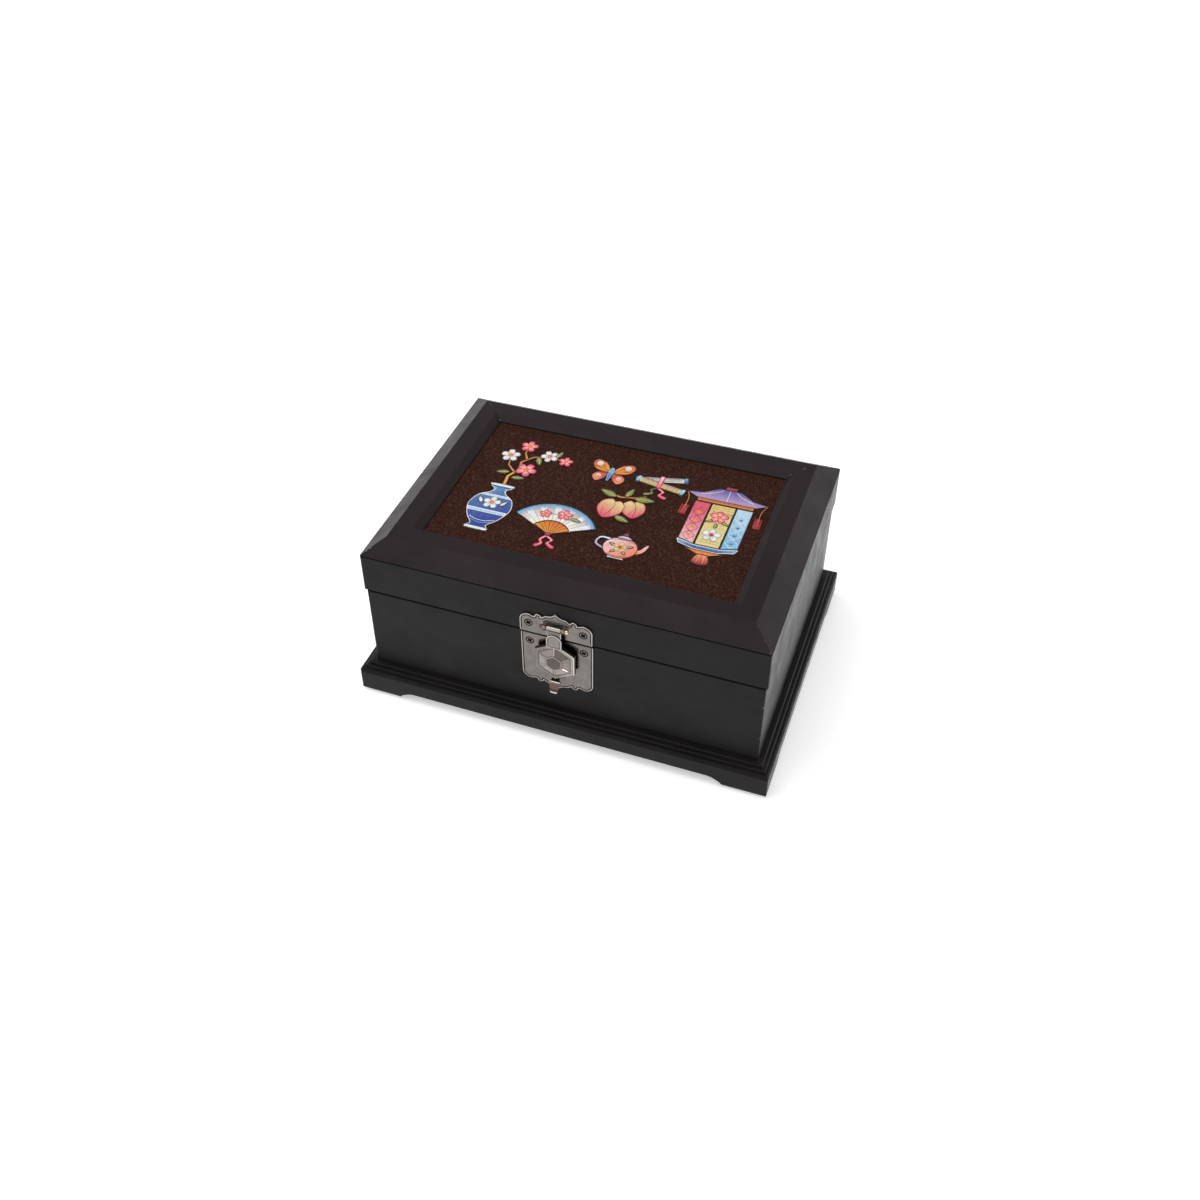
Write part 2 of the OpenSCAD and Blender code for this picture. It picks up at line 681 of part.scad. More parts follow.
module stitched_blossoms() {
    stitched(-0.56, -0.015, 0.42, concat([
        panel(gold, 0, strip([[0.00, 0.00], [-0.02, 0.18], [0.06, 0.34], [0.03, 0.50], [0.14, 0.64], [0.32, 0.71],
            [0.50, 0.69]], 0.045, 0.020)),
        panel(gold, 0, strip([[0.03, 0.27], [-0.10, 0.40], [-0.14, 0.56]], 0.030, 0.018)),
        panel(gold, 0, strip([[0.08, 0.57], [0.01, 0.70], [0.01, 0.80]], 0.030, 0.018)),
        leaf(0.03, 0.16, 0.17, 10), leaf(-0.03, 0.26, 0.17, 195), leaf(0.20, 0.66, 0.17, -65),
        leaf(0.42, 0.72, 0.15, 75)],
        flower(pink, 0.15, 0.36, 0.13, 70), flower(white, -0.15, 0.59, 0.12, 100),
        flower(pink, 0.01, 0.84, 0.11, 90), flower(white, 0.33, 0.72, 0.11, 50),
        flower(pink, 0.56, 0.68, 0.09, 20)));
}

module stitched_fan() {
    sweep = [28, 152];
    hub_y = -0.20;
    ribs = [0.04, 0.24];
    leaf_end = 0.49;
    rim = 0.54;
    stitched(-0.20, -0.23, 0.44, concat([
        panel(gold, 0, concat(arc_points(0, hub_y, ribs[1], sweep[0], sweep[1], 6),
            arc_points(0, hub_y, ribs[0], sweep[1], sweep[0], 2))),
        panel(white, 1, concat(arc_points(0, hub_y, leaf_end, sweep[0], sweep[1], 9),
            arc_points(0, hub_y, ribs[1], sweep[1], sweep[0], 6))),
        panel(sky, 1, concat(arc_points(0, hub_y, rim, sweep[0], sweep[1], 9),
            arc_points(0, hub_y, leaf_end, sweep[1], sweep[0], 9))),
        disc(crimson, 1, 0, hub_y, 0.035),
        blob(pink, 0, strip([[0.01, -0.24], [0.08, -0.29], [0.05, -0.35], [0.13, -0.41]], 0.020, 0.040)),
        blob(pink, 0, strip([[-0.01, -0.24], [-0.05, -0.31], [-0.02, -0.37], [-0.07, -0.43]], 0.020, 0.040)),
        leaf(0.15, 0.13, 0.13, -10, 2)],
        flower(pink, 0.07, 0.17, 0.09, 90, 2), flower(pink, -0.15, 0.13, 0.07, 100, 2)));
}

module stitched_butterfly() {
    fore_wing = [[0.03, 0.04], [0.16, 0.28], [0.38, 0.38], [0.46, 0.24], [0.34, 0.05], [0.08, 0.00]];
    hind_wing = [[0.04, -0.03], [0.24, -0.03], [0.35, -0.18], [0.24, -0.34], [0.10, -0.22]];
    stitched(-0.07, 0.26, 0.25, [
        blob(gold, 0, fore_wing), blob(gold, 0, mirrored(fore_wing)),
        blob(crimson, 0, hind_wing), blob(crimson, 0, mirrored(hind_wing)),
        disc(sky, 1, 0.31, 0.24, 0.060), disc(sky, 1, -0.31, 0.24, 0.060),
        disc(pink, 1, 0.22, -0.16, 0.050), disc(pink, 1, -0.22, -0.16, 0.050),
        blob(blue, 1, both([[0.015, -0.26], [0.040, -0.02], [0.030, 0.14]]))]);
}

module stitched_peaches() {
    peach = [[0.00, -0.30], [-0.19, -0.13], [-0.20, 0.09], [-0.08, 0.20], [0.00, 0.16], [0.08, 0.20],
        [0.20, 0.09], [0.19, -0.13]];
    stitched(0.07, 0.00, 0.29, [
        panel(gold, 0, strip([[-0.34, 0.36], [-0.10, 0.28], [0.14, 0.33], [0.34, 0.44]], 0.050, 0.030)),
        blob(pink, 0, placed(peach, 0.22, 0.06, 12, 0.95)),
        blob(pink, 1, placed(peach, -0.16, -0.04, -10, 1.05)),
        leaf(-0.16, 0.26, 0.34, 160, 2), leaf(0.16, 0.30, 0.36, 5, 2), leaf(0.00, 0.30, 0.27, 75, 2),
        leaf(-0.02, -0.26, 0.30, -20, 2)]);
}

module stitched_teapot() {
    stitched(0.17, -0.29, 0.25, concat([
        blob(lilac, 0, strip([[-0.24, 0.16], [-0.46, 0.16], [-0.50, -0.04], [-0.28, -0.16]], 0.055, 0.050)),
        blob(salmon, 0, strip([[0.24, -0.10], [0.42, -0.02], [0.50, 0.18]], 0.150, 0.050)),
        panel(white, 0, both([[0.16, -0.38], [0.16, -0.32]])),
        blob(salmon, 1, both([[0.14, -0.33], [0.30, -0.20], [0.34, 0.00], [0.25, 0.17], [0.12, 0.23]])),
        blob(lilac, 1, both([[0.13, 0.22], [0.12, 0.28], [0.04, 0.32]])),
        disc(crimson, 1, 0, 0.36, 0.050)],
        flower(cream, 0, -0.04, 0.15, 90, 2)));
}

module stitched_lantern() {
    side_panel = [[0.085, -0.20], [0.185, -0.17], [0.185, 0.215], [0.085, 0.215]];
    tassel = [[0.225, 0.16], [0.245, 0.16], [0.255, 0.06], [0.215, 0.06]];
    stitched(0.56, 0.01, 0.80, concat([
        panel(lilac, 0, both([[0.19, 0.255], [0.26, 0.295], [0.16, 0.315], [0.07, 0.38]])),
        panel(crimson, 0, both([[0.035, 0.38], [0.035, 0.41]])),
        panel(gold, 0, both([[0.18, 0.225], [0.18, 0.255]])),
        panel(cream, 0, both([[0.075, -0.20], [0.075, 0.215]])),
        panel(pink, 0, mirrored(side_panel)), panel(sky, 0, side_panel),
        panel(blue, 0, both([[0.07, -0.245], [0.175, -0.215], [0.19, -0.18], [0.08, -0.21]])),
        panel(gold, 0, both([[0.04, -0.285], [0.12, -0.25]])),
        blob(crimson, 0, both([[0.03, -0.29], [0.045, -0.37]])),
        panel(crimson, 0, tassel), panel(crimson, 0, mirrored(tassel))],
        flower(pink, 0, 0.09, 0.06, 90), flower(white, 0, -0.09, 0.06, 90)));
}

module stitched_scrolls() {
    end_cap = both([[0.035, -0.085], [0.035, 0.085]]);
    rolls = [[0.00, 0.06, 14, white, blue, 0], [0.02, -0.10, -10, cream, sky, 1]];
    stitched(0.20, 0.27, 0.29, concat(
        [for (r = rolls) each [
            panel(r[3], r[5], placed(both([[0.40, -0.07], [0.40, 0.07]]), r[0], r[1], r[2])),
            for (x = [-0.43, 0.43]) panel(r[4], r[5], placed(placed(end_cap, x, 0, 0), r[0], r[1], r[2]))]],
        [panel(pink, 2, both([[0.035, -0.20], [0.035, 0.14]])),
         blob(pink, 0, strip([[0.01, -0.20], [0.12, -0.28], [0.08, -0.38], [0.20, -0.44]], 0.030, 0.060)),
         blob(olive, 0, strip([[-0.01, -0.20], [-0.10, -0.27], [-0.06, -0.36], [-0.18, -0.43]], 0.030, 0.060))]));
}

module backing_board() {
    color("burlywood") block(panel_w, panel_d, cloth_z - cloth_t - backing_t, cloth_z - cloth_t);
}

module lid_liner() {
    color(velvet) block(lid_lined_w, lid_lined_d, liner_z, joint_z);
}

module lid_side_lining() {
    color(velvet) ring_wall(lid_hollow_w, lid_hollow_d, lining_t, lid_z + lining_drop, joint_z);
}

module mirror_glass() {
    color("lightsteelblue") block(mirror_w, mirror_d, liner_z - glass_t, liner_z);
}

// A mitred wooden frame, rebated over the mirror's edge.
module mirror_frame() {
    color(paint) difference() {
        block(mirror_frame_out_w, mirror_frame_out_d, mirror_frame_z, liner_z);
        block(mirror_frame_out_w - 2 * mirror_frame_w, mirror_frame_out_d - 2 * mirror_frame_w,
            mirror_frame_z - over, liner_z + over);
        block(mirror_w, mirror_d, liner_z - glass_t, liner_z + over);
    }
}

// Knuckle i of a hinge about the origin, along x.
module knuckle(i, r, gap) {
    cross_bar((i - (knuckle_count - 1) / 2) * knuckle_len, 0, 0, r, knuckle_len - gap);
}

// One hinge leaf about the hinge's axis. The leaf takes every second knuckle from
// first on, lies between low and high, and its heel points down by heel degrees.
module hinge_leaf(first, low, high, heel) {
    plate_back = knuckle_r + knuckle_gap;
    reach = hinge_y - case_d / 2 + leaf_w;
    others = [for (i = [1 - first:2:knuckle_count - 1]) i];
    mine = [for (i = [first:2:knuckle_count - 1]) i];
    color(brass) difference() {
        union() {
            block(leaf_len, reach - plate_back, low, high, 0, -(reach + plate_back) / 2);
            difference() {
                union() {
                    block(leaf_len, plate_back, low, high, 0, -plate_back / 2);
                    rotate([-heel, 0, 0])
                        block(leaf_len, plate_back + heel_len, -leaf_t / 2, leaf_t / 2, 0,
                            (plate_back + heel_len) / 2);
                }
                for (i = others) knuckle(i, plate_back, -knuckle_gap);
            }
            for (i = mine) knuckle(i, knuckle_r, knuckle_gap);
        }
        cross_bar(0, 0, 0, pin_r + pin_play, leaf_len + 2 * over);
        for (i = [-1:1]) translate([i * screw_row_x, screw_row_y - hinge_y, low > 0 ? low : high])
            mirror([0, 0, low > 0 ? 1 : 0])
                screw_hole(leaf_head_r, leaf_shank_r, leaf_t, 2 * leaf_t);
    }
}

module case_hinge_leaf(x) {
    translate([x, hinge_y, hinge_z]) hinge_leaf(0, -leaf_t - seam / 2, -seam / 2, 90);
}

module lid_hinge_leaf(x) {
    translate([x, hinge_y, hinge_z]) hinge_leaf(1, seam / 2, leaf_t + seam / 2, -heel_up);
}

module hinge_pins() {
    head = pin_r / 2;
    color(brass) for (x = [-hinge_x, hinge_x]) translate([x, hinge_y, hinge_z]) union() {
        cross_bar(0, 0, 0, pin_r, leaf_len + 2 * head);
        for (i = [-1, 1]) cross_bar(i * (leaf_len / 2 + head), 0, 0, pin_r + head, head);
    }
}

module case_hinge_screws() {
    color(brass) at_leaf_screws(case_top_z) screw(leaf_head_r, leaf_shank_r, leaf_t, leaf_screw_len);
}

module lid_hinge_screws() {
    color(brass) at_leaf_screws(lid_z) mirror([0, 0, 1])
        screw(leaf_head_r, leaf_shank_r, leaf_t, leaf_screw_len);
}

// The outline of a plate: straight below, up its sides for edge_h, then the scallops.
function plate_outline(edge_h) =
    let (half = [for (s = scallop_shares) each arc_points(s[0] * half_plate, edge_h + s[1] * half_plate,
        s[2] * half_plate, s[3], s[4])])
    concat([[half_plate, 0]], half, mirrored(half), [[-half_plate, 0]]);

module catch_plate() {
    color(gunmetal) difference() {
        translate([0, 0, case_top_z]) mirror([0, 0, 1]) front_plate(case_face_y, plate_t)
            polygon(plate_outline(lower_edge_h));
        at_plate_screws(case_face_y, case_top_z - plate_screw_z)
            screw_hole(plate_head_r, plate_shank_r, plate_t, plate_screw_len);
    }
}

module hasp_plate() {
    web_h = 2 * hasp_knuckle_r - knuckle_gap;
    color(gunmetal) difference() {
        union() {
            translate([0, 0, lid_z]) front_plate(lid_face_y, plate_t) polygon(plate_outline(upper_edge_h));
            for (x = [-ear_x, ear_x]) {
                cross_bar(x, hasp_y, hasp_z, hasp_knuckle_r + knuckle_gap / 2, ear_t);
                block(ear_t, lid_face_y - hasp_y, hasp_z - web_h / 2, hasp_z + web_h / 2, x,
                    (lid_face_y + hasp_y) / 2);
            }
        }
        cross_bar(0, hasp_y, hasp_z, pin_r + pin_play, 2 * (pin_head_x + over));
        at_plate_screws(lid_face_y, lid_z + plate_screw_z)
            screw_hole(plate_head_r, plate_shank_r, plate_t, plate_screw_len);
    }
}

module catch_plate_screws() {
    color(gunmetal) at_plate_screws(case_face_y, case_top_z - plate_screw_z)
        screw(plate_head_r, plate_shank_r, plate_t, plate_screw_len);
}

module hasp_plate_screws() {
    color(gunmetal) at_plate_screws(lid_face_y, lid_z + plate_screw_z)
        screw(plate_head_r, plate_shank_r, plate_t, plate_screw_len);
}

module catch_strike() {
    color("silver") forward_bar(0, case_face_y - plate_t, shell_z, strike_r, strike_t, strike_r - strike_t / 3);
}

// The hasp's pin, with a round head outside each ear.
module hasp_pin() {
    head_r = pin_r + knuckle_gap;
    end = concat([[pin_r, pin_head_x], [head_r, pin_head_x]],
        arc_points(0, pin_head_x + head_r / 2, head_r, 0, 90));
    color(gunmetal) translate([0, hasp_y, hasp_z]) rotate([0, 90, 0]) rotate_extrude($fn = round_fn)
        polygon(concat([for (p = reversed(end)) [p[0], -p[1]]], end));
}

// A six-sided plate t thick, a corner upwards, forwards from the plane at y. Its edge
// is upright for edge_t and then slopes in to front_r. It is what three long bars of
// that section, crossed at 60 degrees, have in common.
module hexagon(y, r, t, edge_t, front_r) {
    side = r * cos(30);
    front_side = front_r * cos(30);
    translate([0, y, shell_z]) rotate([90, 0, 0]) intersection_for(turn = [0, 60, 120])
        rotate(turn) rotate([90, 0, 0]) linear_extrude(3 * r, center = true)
            polygon([[-side, 0], [side, 0], [side, edge_t], [front_side, t], [-front_side, t], [-side, edge_t]]);
}

// The tab under the shell: it narrows downwards, and leans forwards for a finger.
module hasp_tab() {
    top_w = tab_shares[0] * shell_r;
    end_w = tab_shares[1] * shell_r;
    top_z = shell_z - tab_shares[2] * shell_r;
    end_z = shell_z - tab_shares[3] * shell_r;
    root_y = shell_front_y + hasp_wall;
    intersection() {
        front_plate(root_y + over, hasp_wall + tab_lean + 2 * over)
            polygon([[-top_w, top_z], [top_w, top_z], [end_w, end_z], [-end_w, end_z]]);
        rotate([90, 0, 90]) linear_extrude(4 * top_w, center = true)
            polygon([[root_y, top_z], [root_y - tab_lean, end_z], [root_y - tab_lean - hasp_wall, end_z],
                [root_y - hasp_wall, top_z]]);
    }
}

// The swinging hasp: knuckle, strap, neck, a hollow six-sided shell like a turtle's,
// and the tab to lift it by.
module hasp() {
    strap_y = hasp_y + hasp_wall / 2;
    neck_top_z = shell_z + shell_r + neck_r / 2;
    neck_front_y = shell_front_y + 1.2 * shell_chamfer;
    inner_r = inner_shell_share * shell_r;
    color(gunmetal) difference() {
        union() {
            cross_bar(0, hasp_y, hasp_z, hasp_knuckle_r, hasp_knuckle_len);
            front_plate(strap_y, hasp_wall) translate([-hasp_knuckle_len / 2, shell_z + shell_r / 2])
                square([hasp_knuckle_len, hasp_z - shell_z - shell_r / 2]);
            front_plate(strap_y - hasp_wall / 4, strap_y - hasp_wall / 4 - neck_front_y)
                polygon(concat([[-neck_r, shell_z], [neck_r, shell_z]],
                    arc_points(0, neck_top_z, neck_r, 0, 180, 4 * arc_steps)));
            hexagon(shell_back_y, shell_r, shell_t - shell_chamfer / 2, shell_t - 1.5 * shell_chamfer,
                shell_r - 1.5 * shell_chamfer);
            hexagon(shell_front_y + 1.4 * shell_chamfer, inner_r, 1.4 * shell_chamfer, shell_chamfer,
                inner_r - shell_chamfer);
            hasp_tab();
        }
        cross_bar(0, hasp_y, hasp_z, pin_r + pin_play, hasp_knuckle_len + 2 * over);
        hexagon(shell_back_y + over, shell_r - hasp_wall, magnet_seat, magnet_seat / 2, shell_r - hasp_wall);
    }
}

module hasp_magnet() {
    floor_y = shell_back_y + over - magnet_seat;
    color("silver") forward_bar(0, magnet_y, shell_z, magnet_r, magnet_y - floor_y, magnet_r);
}

plinth_stick("front");  // plinth_front
plinth_stick("right");  // plinth_right
plinth_stick("back");  // plinth_back
plinth_stick("left");  // plinth_left
foot_pads();
case_board("front");  // front_board
case_board("right");  // right_board
case_board("back");  // back_board
case_board("left");  // left_board
base_panel();
wall_lining();
floor_pad();
tray_strips();
tray_side("front");  // tray_front
tray_side("right");  // tray_right
tray_side("back");  // tray_back
tray_side("left");  // tray_left
tray_bottom();
tray_long_divider();
tray_small_dividers();
bay_pads();
ring_rolls();
tray_pull_tabs();
lid_board("front");  // lid_front_board
lid_board("right");  // lid_right_board
lid_board("back");  // lid_back_board
lid_board("left");  // lid_left_board
frame_rail("front");  // frame_front
frame_rail("right");  // frame_right
frame_rail("back");  // frame_back
frame_rail("left");  // frame_left
embroidered_cloth();
stitched_vase();
stitched_blossoms();
stitched_fan();
stitched_butterfly();
stitched_peaches();
stitched_teapot();
stitched_lantern();
stitched_scrolls();
backing_board();
lid_liner();
lid_side_lining();
mirror_glass();
mirror_frame();
case_hinge_leaf(-hinge_x);  // case_hinge_leaf_left
case_hinge_leaf(hinge_x);  // case_hinge_leaf_right
lid_hinge_leaf(-hinge_x);  // lid_hinge_leaf_left
lid_hinge_leaf(hinge_x);  // lid_hinge_leaf_right
hinge_pins();
case_hinge_screws();
lid_hinge_screws();
catch_plate();
catch_plate_screws();
catch_strike();
hasp_plate();
hasp_plate_screws();
hasp_pin();
hasp();
hasp_magnet();
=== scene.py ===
# %% [markdown]
# # Embroidered jewellery box
# This lesson dresses a small wooden jewellery box. Its boards, rails, hinges and screws were
# built as exact solids and arrive as a fixed frame. The lesson adds what solids are poor at:
# paint, woven cloth, silk stitches, velvet, and the rounded metal of the hasp. The CAD solids
# could be rebuilt by hand in Blender, but a frame that is loaded keeps every hinge in place.

# %% Load the frame
import math

import bpy
import numpy as np
from mathutils import Matrix, Vector
from mathutils.geometry import tessellate_polygon


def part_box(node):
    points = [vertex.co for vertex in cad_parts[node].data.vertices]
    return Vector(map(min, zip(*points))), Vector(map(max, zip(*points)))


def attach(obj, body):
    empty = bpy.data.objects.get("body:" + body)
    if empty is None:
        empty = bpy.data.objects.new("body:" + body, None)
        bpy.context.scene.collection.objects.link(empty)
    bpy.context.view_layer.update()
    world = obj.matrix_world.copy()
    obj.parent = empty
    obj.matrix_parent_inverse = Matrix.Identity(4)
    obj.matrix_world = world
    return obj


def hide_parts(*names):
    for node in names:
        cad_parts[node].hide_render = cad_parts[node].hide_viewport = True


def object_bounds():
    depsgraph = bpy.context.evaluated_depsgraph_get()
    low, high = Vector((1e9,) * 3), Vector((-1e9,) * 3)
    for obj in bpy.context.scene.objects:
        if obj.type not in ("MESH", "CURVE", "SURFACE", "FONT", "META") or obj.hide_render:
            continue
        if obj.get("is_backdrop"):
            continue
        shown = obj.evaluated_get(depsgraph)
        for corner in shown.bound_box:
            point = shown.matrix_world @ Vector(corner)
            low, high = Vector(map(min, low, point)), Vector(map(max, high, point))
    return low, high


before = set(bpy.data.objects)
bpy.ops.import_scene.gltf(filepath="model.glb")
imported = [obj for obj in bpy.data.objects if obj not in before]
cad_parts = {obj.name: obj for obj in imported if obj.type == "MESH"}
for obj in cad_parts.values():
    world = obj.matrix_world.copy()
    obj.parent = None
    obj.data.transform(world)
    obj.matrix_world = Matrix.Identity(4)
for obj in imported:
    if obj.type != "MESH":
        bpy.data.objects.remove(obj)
cad_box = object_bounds()
MM = 0.001
scene = bpy.context.scene
scene.view_settings.view_transform = "Standard"

# %% [markdown]
# ## The camera
# The photograph was taken from the front, a little to the right and from well above. Where the
# camera stood was worked out from the box's own corners, whose real places are known. It is
# given as three directions, to the right of the picture, down it and into it, so that no
# rounding by turning angles creeps in. The picture was cropped, so the lens is shifted a
# little instead of turned.

# %% Place the camera
CAMERA_AT = Vector((200.1, -582.7, 594.4)) * MM
CAMERA_RIGHT = Vector((0.929573, 0.367308, -0.031293))
CAMERA_DOWN = Vector((0.219907, -0.620654, -0.752615))
CAMERA_AHEAD = Vector((-0.295864, 0.692729, -0.657717))
PICTURE_SIDE, MIDDLE_X, MIDDLE_Y, FOCAL = 1200, 535, 575, 1307.9
camera_data = bpy.data.cameras.new("camera")
camera_data.sensor_width = 36
camera_data.lens = FOCAL / PICTURE_SIDE * camera_data.sensor_width
camera_data.shift_x = 0.5 - MIDDLE_X / PICTURE_SIDE
camera_data.shift_y = MIDDLE_Y / PICTURE_SIDE - 0.5
camera_data.clip_start = 0.01
camera = bpy.data.objects.new("camera", camera_data)
turn = Matrix((CAMERA_RIGHT, -CAMERA_DOWN, -CAMERA_AHEAD)).transposed()
camera.matrix_world = Matrix.LocRotScale(CAMERA_AT, turn.to_quaternion(), None)
scene.collection.objects.link(camera)
scene.camera = camera
print("lens", round(camera_data.lens, 2), "mm")

# %% [markdown]
# ## Writing shader maths as Python
# A material is a graph of small nodes. Placing them by mouse is quick for ten nodes and slow
# for a hundred. Here one class wraps a socket, so that an expression such as `1 - mask * 0.3`
# builds its own Math nodes. A second class holds the node tree and makes every other node.

# %% Wrap sockets
class Wire:
    """A number that comes out of a shader socket. Arithmetic on it adds Math nodes."""

    def __init__(self, finish, socket):
        self.finish, self.socket = finish, socket

    def maths(self, operation, *others):
        return self.finish.node("ShaderNodeMath", {"operation": operation}, dict(enumerate((self, *others))))

    def __add__(self, other): return self.maths("ADD", other)
    __radd__ = __add__
    def __mul__(self, other): return self.maths("MULTIPLY", other)
    def __sub__(self, other): return self.maths("SUBTRACT", other)
    def __rsub__(self, other): return self * -1 + other
    def __abs__(self): return self.maths("ABSOLUTE")

    def sine(self): return self.maths("SINE")
    def least(self, other): return self.maths("MINIMUM", other)
    def most(self, other): return self.maths("MAXIMUM", other)

    def between(self, low, high, to_low=0.0, to_high=1.0):
        """The share of the way from low to high, smoothed and held, as a number from to_low to to_high."""
        return self.finish.node("ShaderNodeMapRange", {"interpolation_type": "SMOOTHSTEP"},
                                {"Value": self, "From Min": low, "From Max": high,
                                 "To Min": to_low, "To Max": to_high}, "Result")


class Graph:
    """A node tree whose nodes are made one after another by node()."""

    def __init__(self, tree):
        self.tree = tree

    def node(self, kind, settings=None, inputs=None, output=0):
        """Makes a node: its settings first, then the values or links of its sockets."""
        made = self.tree.nodes.new(kind)
        for key, value in (settings or {}).items():
            setattr(made, key, value)
        for key, value in (inputs or {}).items():
            if isinstance(value, Wire):
                self.tree.links.new(value.socket, made.inputs[key])
            else:
                made.inputs[key].default_value = value
        return Wire(self, made.outputs[output])

    def axes(self, vector):
        """The three numbers of a vector or a colour, each as a wire of its own."""
        split = self.node("ShaderNodeSeparateXYZ", None, {"Vector": vector}).socket.node
        return [Wire(self, out) for out in split.outputs]


print("sockets and node trees are wrapped")

# %% [markdown]
# ## Materials without pictures
# Every finish of the box is one Principled shader, fed by noises and mixes. Pictures of real
# paint would show real stains, but they would have to be taken, and fitted to each piece.
# Noise is worked out from a point's place in its own object, in metres, so it needs no
# unwrapping and fits a piece of any shape.

# %% Wrap materials
class Finish(Graph):
    """A material on the Principled shader, with noises and mixes."""

    def __init__(self, name, **constants):
        self.material = bpy.data.materials.new(name)
        self.material.use_nodes = True
        super().__init__(self.material.node_tree)
        self.shader = self.tree.nodes["Principled BSDF"]
        for socket, value in constants.items():
            self.shader.inputs[socket.replace("_", " ")].default_value = value
        self.place = self.node("ShaderNodeTexCoord", output="Object")

    def noise(self, scale, detail=3.0, stretch=(1, 1, 1), distortion=0.0):
        """Soft random numbers about 0.5, with scale blobs to the metre. Where stretch is below 1,
        the blobs are longer in that direction."""
        place = self.node("ShaderNodeMapping", None, {"Vector": self.place, "Scale": stretch})
        return self.node("ShaderNodeTexNoise", None,
                         {"Vector": place, "Scale": scale, "Detail": detail, "Distortion": distortion}, "Fac")

    def tint(self, share, first, second, mode="MIX"):
        """A colour that goes from first to second as share goes from 0 to 1. On the Mix node the
        sockets 0, 6 and 7 are the share and the two colours, and output 2 is the mixed one."""
        first, second = (c if isinstance(c, Wire) else (*c, 1) for c in (first, second))
        return self.node("ShaderNodeMix", {"data_type": "RGBA", "blend_type": mode},
                         {0: share, 6: first, 7: second}, 2)

    def relief(self, height, distance):
        """Feeds a height map to the shader's normal. Height 1 stands distance metres high."""
        self.feed(Normal=self.node("ShaderNodeBump", None,
                                   {"Height": height, "Distance": distance, "Strength": 1.0}))

    def feed(self, **wires):
        """Links wires to the shader's sockets of the same names."""
        for socket, wire in wires.items():
            self.tree.links.new(wire.socket, self.shader.inputs[socket.replace("_", " ")])

    def on(self, *names):
        """Gives the finish to CAD nodes."""
        for name in names:
            dress(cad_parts[name], self)


def dress(piece, finish):
    """Takes a piece's materials away and gives it the finish."""
    piece.data.materials.clear()
    piece.data.materials.append(finish.material)


def srgb(red, green, blue):
    """A colour as a screen shows it, made linear: each channel to the power 2.4, but a straight
    line near black, as the sRGB standard has it."""
    return tuple(((c + 0.055) / 1.055) ** 2.4 if c > 0.04045 else c / 12.92 for c in (red, green, blue))


print("materials are wrapped")

# %% [markdown]
# ## Floor, world and lamps
# The box stood on white paper under soft lamps. The floor could be made white by more light,
# but then the box would be too bright as well. So the floor gets a little glow of its own,
# seen only by the camera and by mirror-like surfaces, and keeps the shadow of the box.

# %% Build the studio
def white_paper(glow, shine):
    """White paper whose shadows are filled in: by glow where the camera looks at it, and by
    shine where a shiny surface does. Far from the lamps the glow grows, so that it stays white."""
    paper = Finish("white_paper", Roughness=0.9, Specular_IOR_Level=0.0)
    paper.shader.inputs["Base Color"].default_value = (0.86, 0.86, 0.86, 1)
    camera_ray, glossy_ray = (paper.node("ShaderNodeLightPath", output=f"Is {kind} Ray")
                              for kind in ("Camera", "Glossy"))
    x, y, _ = paper.axes(paper.place)
    far = (x * x + y * y).between(0.3, 2.5, 0, 0.2)
    light = paper.node("ShaderNodeEmission", None, {
        "Color": (1, 1, 1, 1), "Strength": camera_ray * (far + glow) + glossy_ray * shine})
    both = paper.node("ShaderNodeAddShader", None, {0: Wire(paper, paper.shader.outputs[0]), 1: light})
    paper.tree.links.new(both.socket, paper.tree.nodes["Material Output"].inputs["Surface"])
    return paper


def studio_world(dim, ceiling):
    """White all round for the camera and for glass. It lights the box at strength dim. Shiny
    surfaces see it white at the horizon, falling to a dimmer ceiling."""
    world = bpy.data.worlds.new("studio")
    world.use_nodes = True
    scene.world = world
    room = Graph(world.node_tree)
    camera_ray, through, shine = (room.node("ShaderNodeLightPath", output=f"Is {kind} Ray")
                                  for kind in ("Camera", "Transmission", "Glossy"))
    height = room.axes(room.node("ShaderNodeTexCoord", output="Generated"))[2]
    mirrored_light = height.between(0.0, 0.9, 1.0, ceiling)
    background = room.tree.nodes["Background"]
    background.inputs["Color"].default_value = (1, 1, 1, 1)
    strength = camera_ray.most(through) * (1 - dim) + shine * (mirrored_light - dim) + dim
    room.tree.links.new(strength.socket, background.inputs["Strength"])


def soft_lamp(name, at, aim, size, watts):
    """A rectangular area lamp at one point that faces another."""
    data = bpy.data.lights.new(name, "AREA")
    data.shape, data.size, data.size_y, data.energy = "RECTANGLE", size[0], size[1], watts
    lamp = bpy.data.objects.new(name, data)
    lamp.location = at
    lamp.rotation_euler = (Vector(aim) - Vector(at)).to_track_quat("-Z", "Y").to_euler()
    scene.collection.objects.link(lamp)


floor_mesh = bpy.data.meshes.new("floor")
half = 6.0
floor_mesh.from_pydata([(-half, -half, 0), (half, -half, 0), (half, half, 0), (-half, half, 0)], [],
                       [(0, 1, 2, 3)])
floor = bpy.data.objects.new("floor", floor_mesh)
scene.collection.objects.link(floor)
floor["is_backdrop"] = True
dress(floor, white_paper(0.42, 0.95))
studio_world(0.55, 0.6)
soft_lamp("top_lamp", (-0.3, -0.2, 1.5), (0, 0, 0.05), (1.2, 1.2), 12)
soft_lamp("front_lamp", (-1.3, -0.9, 0.9), (0, 0, 0.05), (0.8, 0.8), 3.5)
soft_lamp("edge_lamp", (1.0, 1.0, 0.35), (0.1, 0.0, 0.05), (0.9, 0.5), 3.5)
print("studio ready")

